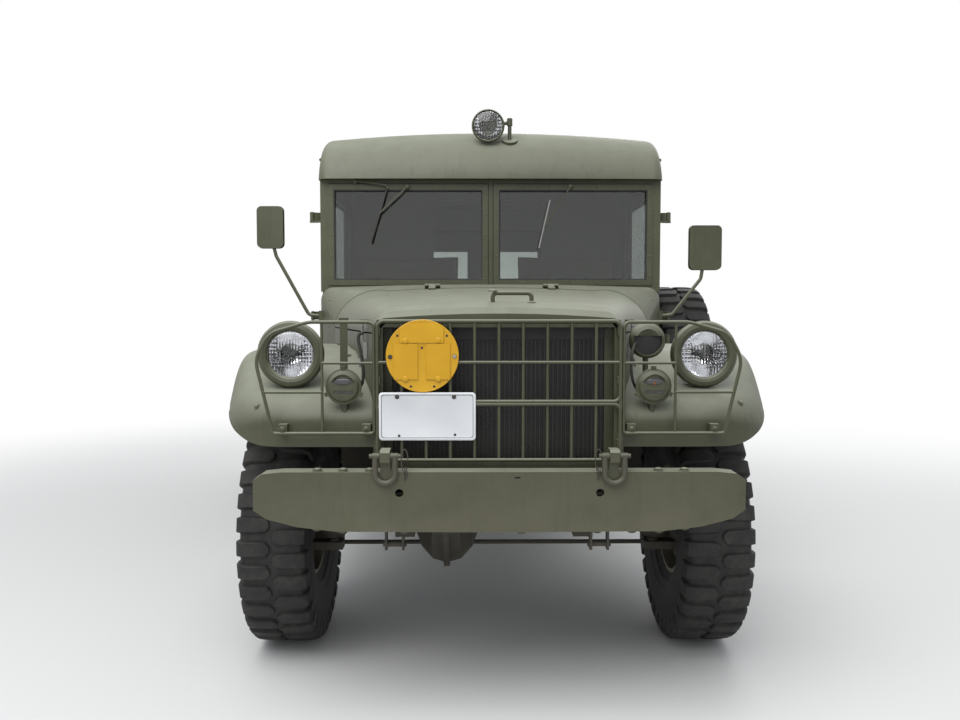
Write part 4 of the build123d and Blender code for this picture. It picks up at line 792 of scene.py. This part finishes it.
for name, top, foot, look in (("left", Vector((-0.476, 1.853)), Vector((-0.551, 1.603)), chassis_enamel),
                              ("right", Vector((0.272, 1.8)), Vector((0.222, 1.58)), zinc)):
    blade = Form("wiper_blade_" + name)
    turn = Matrix.Rotation(math.atan2(*(top - foot)), 3, "Y")
    x, z = (top + foot) / 2
    half = (top - foot).length / 2
    for thick, y0, y1, short in ((0.0035, -1.1145, -1.108, 0), (0.0015, -1.109, -1.0985, 0.004)):
        blade.slab((x - thick, y0, z - half + short), (x + thick, y1, z + half - short), turn, (x, -1.11, z))
    blade.stand(look, bevel=0.0006)


# Nose fittings: spring latches on the nose panels that hook over catches on the hood, the feet of the hood's
# handle and the flexible conduit that feeds the marker lamps.
LATCH_Y = -2.23
HOOK_Z = 1.243
latches = Form("hood_latches")
catches = Form("hood_catches")
for side in (-1, 1):
    panel = beside("nose", side, LATCH_Y, 1.165)[0]
    edge = beside("hood", side, LATCH_Y, HOOK_Z + 0.012)[0]
    x = panel.x + side * 0.003
    loop = side * (max(abs(x), abs(edge.x)) + 0.01)
    latches.slab((x - 0.006, LATCH_Y - 0.012, 1.132), (x + 0.006, LATCH_Y + 0.012, 1.186))
    for y in (LATCH_Y - 0.007, LATCH_Y + 0.007):
        latches.pipe([(x + side * 0.004, y, 1.176), (loop, y, 1.196), (loop, y, HOOK_Z - 0.001)], 0.0028, 8)
    latches.pipe([(loop, LATCH_Y - 0.013, HOOK_Z), (loop, LATCH_Y + 0.013, HOOK_Z)], 0.0036, 8)
    latches.pipe([(x + side * 0.005, LATCH_Y, 1.145), (x + side * 0.017, LATCH_Y, 1.132),
                  (x + side * 0.021, LATCH_Y - 0.004, 1.104)], 0.0042, 8, 0.008)
    catches.slab((edge.x - side * 0.003, LATCH_Y - 0.009, HOOK_Z + 0.005),
                 (loop + side * 0.005, LATCH_Y + 0.009, HOOK_Z + 0.02))
latches.stand(zinc)
catches.stand(body_enamel, "hood")
HANDLE_Y = -2.33
feet = Form("hood_handle_feet")
for x in (-0.018, 0.108):
    place = found("hood", (x + 0.012, HANDLE_Y, OVERHEAD), DOWN)[0]
    feet.turned((x, HANDLE_Y, place.z - 0.002), UP, [
        (0, 0), (0, 0.016), (0.004, 0.015), (0.007, 0.009), (0.007, 0)], 20)
feet.stand(body_enamel, "hood")
conduit = Form("lamp_conduit")
conduit.pipe([(-0.428, -2.386, 1.225), (-0.452, -2.386, 1.215), (-0.436, -2.392, 1.15), (-0.43, -2.392, 1.09),
              (-0.437, -2.38, 1.055), (-0.455, -2.372, 1.045)], 0.0055, 10, 0.03)
conduit.pipe([(0.441, -2.372, 1.045), (0.425, -2.385, 1.08), (0.423, -2.39, 1.15), (0.436, -2.37, 1.185),
              (0.452, -2.33, 1.19)], 0.0045, 10, 0.03)
conduit.stand(chassis_enamel)


# Shackle keepers: bent wire rings with a short chain that lock the tow shackles' pins, bare steel gone rusty.
# The chain's links are turned a quarter against each other.
keepers = Form("shackle_keepers")
for x in (-0.29, 0.3):
    ring = [(x + 0.01 * c, -2.538 + 0.004 * s, 0.838 + 0.034 * s) for c, s in circle(20)]
    keepers.pipe(ring[:19], 0.0017, 6)
    for link in range(4):
        across = link % 2
        middle = Vector((x + 0.004 * across, -2.53 + 0.004 * link, 0.8 - 0.013 * link + 0.008))
        keepers.pipe([middle + Vector((0.005 * c * across, 0.005 * c * (1 - across), 0.009 * s))
                      for c, s in circle(10)], 0.0016, 6)
keepers.stand(iron, slot="cast_iron")


# Mirror glasses and rims: silvered glass let into the backs of the two square mirror heads, held by a dark
# rolled rim.
mirror_glass = clouded("mirror_silver", (12, 4, 0.4, 0.7, 0, 0.3), (0.8, 0.82, 0.83, 1), (0.6, 0.62, 0.63, 1),
                       0.05, 1.0)
faces = Form("mirror_glasses")
rims = Form("mirror_rims")
for x0, x1, z0, z1 in ((-1.075, -0.955, 1.58, 1.771), (0.92, 1.067, 1.481, 1.685)):
    centre = ((x0 + x1) / 2, (z0 + z1) / 2)
    glass_edge, outer, inner = [rounded((x1 - x0) / 2 + out, (z1 - z0) / 2 + out, corner, *centre)
                                for out, corner in ((-0.007, 0.016), (0.0015, 0.0225), (-0.006, 0.018))]
    faces.plate(glass_edge, -1.0862, -1.0846)
    rims.rings([upright(inner, -1.087), upright(inner, -1.0835), upright(outer, -1.0845), upright(outer, -1.093)],
               close=True)
faces.stand(mirror_glass, slot="window_glass")
rims.stand(chassis_enamel)


# Wheel nuts and hubs: five cone nuts hold each steel disc to its hub, eight small bolts hold the hub's cap,
# and a rubber valve stem stands in the disc. All are found by looking along the axle at the wheel's solid.
wheel_face = enamel("wheel_enamel", OLIVE_DEEP, OLIVE_FRESH, 0.3, 0.9, 0.45, 0.8)
NUT_CIRCLE, HUB_CIRCLE, VALVE_CIRCLE = 0.114, 0.044, 0.186


def round_axle(node, side, radius, count, first=0.0):
    middle = middle_of(node)
    return [beside(node, side, middle.y + radius * c, middle.z + radius * s) for c, s in circle(count, first)]


for name, side in WHEELS.items():
    node = "wheel_" + name
    dress([node], wheel_face)
    bolts("wheel_nuts_" + name, round_axle(node, side, NUT_CIRCLE, 5, math.pi / 5), 0.027, 0.017, 0.018,
          wheel_face, node)
    bolts("hub_bolts_" + name, round_axle(node, side, HUB_CIRCLE, 8), 0.013, 0.007, 0.009, wheel_face, node)
    valve = Form("valve_stem_" + name)
    place = round_axle(node, side, VALVE_CIRCLE, 1, math.pi / 2)[0][0]
    valve.turned((place.x - side * 0.002, place.y, place.z), (side, 0, 0.2), [
        (0, 0), (0, 0.008), (0.006, 0.0045), (0.038, 0.0045), (0.04, 0.006), (0.05, 0.0055), (0.051, 0)], 12)
    valve.stand(rubber, node, "tyre_rubber")
dress(["spare_wheel"], wheel_face)
bolts("spare_nuts", round_axle("spare_wheel", 1, NUT_CIRCLE, 5, math.pi / 5), 0.027, 0.014, 0.018, wheel_face,
      "spare_carrier")


# Cab seats: two canvas-covered foam cushions and backs, crowned, with rolled welts and sewn channels, on
# pressed steel boxes bolted to the cab floor.
def canvas_look():
    look = Look("seat_canvas")
    weave = [look.add("TexWave", {"Vector": look.place, "Scale": 190}, bands_direction=way).outputs["Fac"]
             for way in ("X", "Z")]
    colour = look.mix(look.span(look.noise(7, 6), 0.35, 0.7), (0.062, 0.064, 0.036, 1), (0.095, 0.096, 0.058, 1))
    colour = look.mix(look.span(look.noise(3, 5), 0.45, 0.75, 0, 0.5), colour, (0.12, 0.105, 0.07, 1))
    look.bump(look.math("MAXIMUM", *weave), 0.0006, 0.5)
    return look.finish(colour, 0.88)


canvas = canvas_look()
dress(["seats"], canvas)


def pad(name, low, high, thick_axis):
    """A crowned cushion: sides drawn in between the corners, sewn channels across its face, a welt round it.

    Its faces are made pointing outwards and tagged, since its flat rim leaves a later guess undecided.
    """
    low, high = Vector(low), Vector(high)
    wide_axis, long_axis = [n for n in (0, 1, 2) if n != thick_axis]
    middle, half = (low + high) / 2, (high - low) / 2
    count, channels = 44, 5

    def at(u, v, depth=0.0):
        point = Vector(middle)
        point[wide_axis] += half[wide_axis] * u * (1 - 0.028 * (1 - v * v) * abs(u) ** 3)
        point[long_axis] += half[long_axis] * v * (1 - 0.028 * (1 - u * u) * abs(v) ** 3)
        point[thick_axis] += half[thick_axis] * depth
        return point

    cushion = Form(name)
    grid = {}
    for face in (1, -1):
        for i in range(count + 1):
            for j in range(count + 1):
                if face < 0 and (i in (0, count) or j in (0, count)):
                    grid[face, i, j] = grid[1, i, j]
                    continue
                u, v = 2 * i / count - 1, 2 * j / count - 1
                swell = ((1 - abs(u) ** 5) * (1 - abs(v) ** 5)) ** 0.36
                crown = 0.8 + 0.2 * (1 - u * u) * (1 - v * v)
                groove = 0.075 * max(0.0, math.cos(math.pi * channels * (u + 1))) ** 10
                depth = swell * (crown - groove * (1 - v ** 8)) if face > 0 else -swell
                grid[face, i, j] = cushion.mesh.verts.new(at(u, v, depth))
        for i in range(count):
            for j in range(count):
                corners = [grid[face, m, n] for m, n in ((i, j), (i + 1, j), (i + 1, j + 1), (i, j + 1))]
                if (face > 0) == (thick_axis == 1):
                    corners[1:] = reversed(corners[1:])
                cushion.mesh.faces.new(corners).tag = True
    rim = [at(c / max(abs(c), abs(s)), s / max(abs(c), abs(s))) for c, s in circle(96)]
    face = Vector([1.0 if axis == thick_axis else 0.0 for axis in range(3)])
    rows = []
    for n, point in enumerate(rim):
        side = (rim[(n + 1) % len(rim)] - rim[n - 1]).normalized().cross(face)
        rows.append([point + (side * c + face * s) * 0.0055 for c, s in circle(8)])
    cushion.rings(rows, close=True)
    piece = cushion.stand(canvas, "chassis", "seat_canvas", sharp=60, replaces=("seats",))


boxes = Form("seat_boxes")
for name, x0, x1 in (("left", 0.16, 0.68), ("right", -0.68, -0.16)):
    pad("seat_cushion_" + name, (x0 + 0.006, -0.894, 1.0405), (x1 - 0.006, -0.426, 1.148), 2)
    pad("seat_back_" + name, (x0 + 0.006, -0.419, 1.062), (x1 - 0.006, -0.332, 1.578), 1)
    boxes.slab((x0 + 0.03, -0.84, 0.83), (x1 - 0.03, -0.44, 1.04))
    boxes.slab((x0 + 0.022, -0.85, 1.03), (x1 - 0.022, -0.432, 1.0405))
boxes.stand(body_enamel, bevel=0.006, replaces=("seats",))


# Steering wheel and dash: a black three-spoke wheel with a horn button, and round dials with zinc bezels in
# a panel before the driver.
dial_black = enamel("wheel_black", (0.01, 0.01, 0.01, 1), (0.016, 0.016, 0.015, 1), 0.05, 0.0, 0.35, 0)
dress(["steering_wheel"], dial_black)
horn = Form("horn_button")
column_way = Vector((0, 0.645, 0.764)).normalized()
horn.turned(Vector((0.4, -0.83, 1.325)) + column_way * 0.01, column_way, [
    (0, 0), (0, 0.026), (0.006, 0.025), (0.011, 0.014), (0.012, 0)], 24)
horn.stand(dial_black, "steering_wheel", "wheel_rim_plastic")
bezels = Form("dial_bezels")
dials = Form("dial_faces")
for x, z, r in ((0.4, 1.305, 0.05), (0.285, 1.318, 0.03), (0.285, 1.248, 0.03), (0.515, 1.318, 0.03),
                (0.515, 1.248, 0.03), (0.18, 1.3, 0.022)):
    bezels.turned((x, -0.9905, z), AFT, [
        (0, r), (0.005, r), (0.006, r - 0.002), (0.003, r - 0.005), (0, r - 0.005)], close=True)
    dials.turned((x, -0.9905, z), AFT, [(0, 0), (0, r - 0.004), (0.002, r - 0.004), (0.002, 0)])
bezels.stand(zinc)
dials.stand(dial_black, slot="wheel_rim_plastic")


# Doors and body sides: steel handles, a rubber round each side window, rivets along the seams, two pressed
# belts and a seam strip on each side, and the fuel filler's cap on the right.
BODY_SIDE = 0.7855
for name, side in SIDES:
    door = "cab_door_" + name
    handle = Form("door_handle_" + name)
    handle.turned((side * 0.8, -0.372, 1.389), (side, 0, 0), [
        (0, 0), (0, 0.014), (0.02, 0.011), (0.034, 0.013), (0.038, 0)], 20)
    handle.pipe([(side * 0.832, -0.372, 1.389), (side * 0.836, -0.395, 1.387), (side * 0.836, -0.47, 1.38),
                 (side * 0.832, -0.486, 1.378)], 0.0085, 12, 0.012)
    handle.stand(body_enamel, door)
    ring = Form("door_window_rubber_" + name)
    rubber_ring(ring, side, (-0.992, 1.428), (-0.368, 1.832), (
        (0, 0.7858), (0, 0.7875), (0.011, 0.7875), (0.011, 0.769)), sideways=True)
    ring.stand(seal_rubber, door, "tyre_rubber")
    spots = [(-0.965, z) for z in (0.835, 0.862, 1.255, 1.282, 1.715, 1.742)]
    spots += [(y, 1.36) for y in (-0.9, -0.8, -0.7, -0.6, -0.5)]
    rivets("door_rivets_" + name, [beside(door, side, y, z) for y, z in spots], body=door)

for name, side in SIDES:
    spots = [(y, 1.02 + 0.075 * n) for y in (-0.285, 0.62, 2.345) for n in range(12)]
    for y in [-0.23 + 0.078 * n for n in range(34)]:
        spots.append((y, 1.945))
        if y < 0.8 or y > 2.16:
            spots.append((y, 0.735))
    rivets("side_rivets_" + name, [beside("body_side_" + name, side, y, z) for y, z in spots])
    belt = Form("side_belt_" + name)
    for z in (1.395, 1.87):
        belt.rings([[(side * (BODY_SIDE + out), y, z + up) for out, up in (
            (0, -0.014), (0.005, -0.011), (0.0065, 0), (0.005, 0.011), (0, 0.014))] for y in (-0.296, 2.352)])
    belt.slab((side * BODY_SIDE, 0.598, 1.0), (side * 0.789, 0.642, 1.385))
    belt.stand(body_enamel)
cap = Form("fuel_filler")
cap.turned((-0.785, 1.96, 1.15), (-1, 0, 0), [
    (0, 0), (0, 0.052), (0.006, 0.05), (0.008, 0.04), (0.026, 0.038), (0.03, 0.032), (0.03, 0)], 28)
cap.stand(body_enamel)


# Rear doors: a painted lever handle, bolted hinges, a rubber round each window, and rivets along the doors'
# edges and the frame.
for name, side in SIDES:
    door = "rear_door_" + name
    ring = Form("rear_window_rubber_" + name)
    rubber_ring(ring, side, (0.118, 1.428), (0.482, 1.802), (
        (0, 2.3995), (0, 2.4015), (0.011, 2.4015), (0.011, 2.383)))
    ring.stand(seal_rubber, door, "tyre_rubber")
    places = [found(door, (side * x, BEHIND, z + up), FORE)
              for z in (1.05, 1.4, 1.78) for x in (0.53, 0.575) for up in (0.002, 0.018)]
    bolts("rear_hinge_bolts_" + name, places, 0.012, 0.006, 0.0085, body=door)
    places = [found(door, (side * x, BEHIND, z), FORE)
              for x in (0.04, 0.56) for z in (0.93, 1.12, 1.22, 1.5, 1.6, 1.7, 1.9)]
    rivets("rear_door_rivets_" + name, places, body=door)
lever = Form("rear_door_lever")
lever.turned((0.035, 2.428, 1.3), AFT, [(0, 0), (0, 0.018), (0.01, 0.016), (0.018, 0.01), (0.02, 0)], 20)
lever.pipe([(0.035, 2.44, 1.3), (0.07, 2.446, 1.294), (0.15, 2.446, 1.28), (0.168, 2.438, 1.277)],
           0.0085, 12, 0.012)
lever.stand(body_enamel, "rear_door_left")
spots = [(x, z) for x in (-0.765, 0.765) for z in (0.74, 0.86, 1.1, 1.24, 1.38, 1.52, 1.66, 1.8, 1.94)]
spots += [(x, 1.982) for x in (-0.6, -0.4, -0.2, 0.2, 0.4, 0.6)]
rivets("rear_frame_rivets", [found("rear_frame", (x, BEHIND, z), FORE) for x, z in spots], 0.0052)


# Cowl, fender and running-board fittings: bolts along the fenders' inner edges, rivets on the cowl, splash
# sheets behind the front wheels, treads on the running board and a sponge strip round the rear doorway.
splash = Form("splash_sheets")
for side in (-1, 1):
    splash.slab((side * 0.385, -1.135, 0.545), (side * 0.919, -1.132, 0.76))
    splash.slab((side * 0.385, -1.143, 0.54), (side * 0.919, -1.132, 0.548))
splash.stand(chassis_enamel, slot="chassis_paint")
doorway = Form("doorway_strip")
for x0, x1, z0, z1 in ((-0.612, 0.612, 1.945, 1.975), (-0.612, -0.588, 0.87, 1.946),
                       (0.588, 0.612, 0.87, 1.946), (-0.612, 0.612, 0.881, 0.897)):
    doorway.slab((x0, 2.35, z0), (x1, 2.3598, z1))
doorway.stand(seal_rubber, slot="tyre_rubber")
NOSE_FLARE = 0.29 / 1.083
places = [found("fender_" + name, (side * (0.43 + (y + 2.395) * NOSE_FLARE), y, OVERHEAD), DOWN)
          for name, side in SIDES for y in (-2.02, -1.88, -1.74, -1.6, -1.46)]
bolts("fender_bolts", places, 0.014, 0.006, 0.011)
rivets("cowl_rivets", [found("cowl", (x, BEFORE, z), AFT) for x in (-0.735, 0.735) for z in (1.34, 1.22)], 0.005)
row_of("running_board_treads", (-0.918, -1.08, 0.6095), (-0.8, -1.072, 0.6135), 38, (0, 0.0205, 0),
       body_enamel, "olive_paint", 0.001)
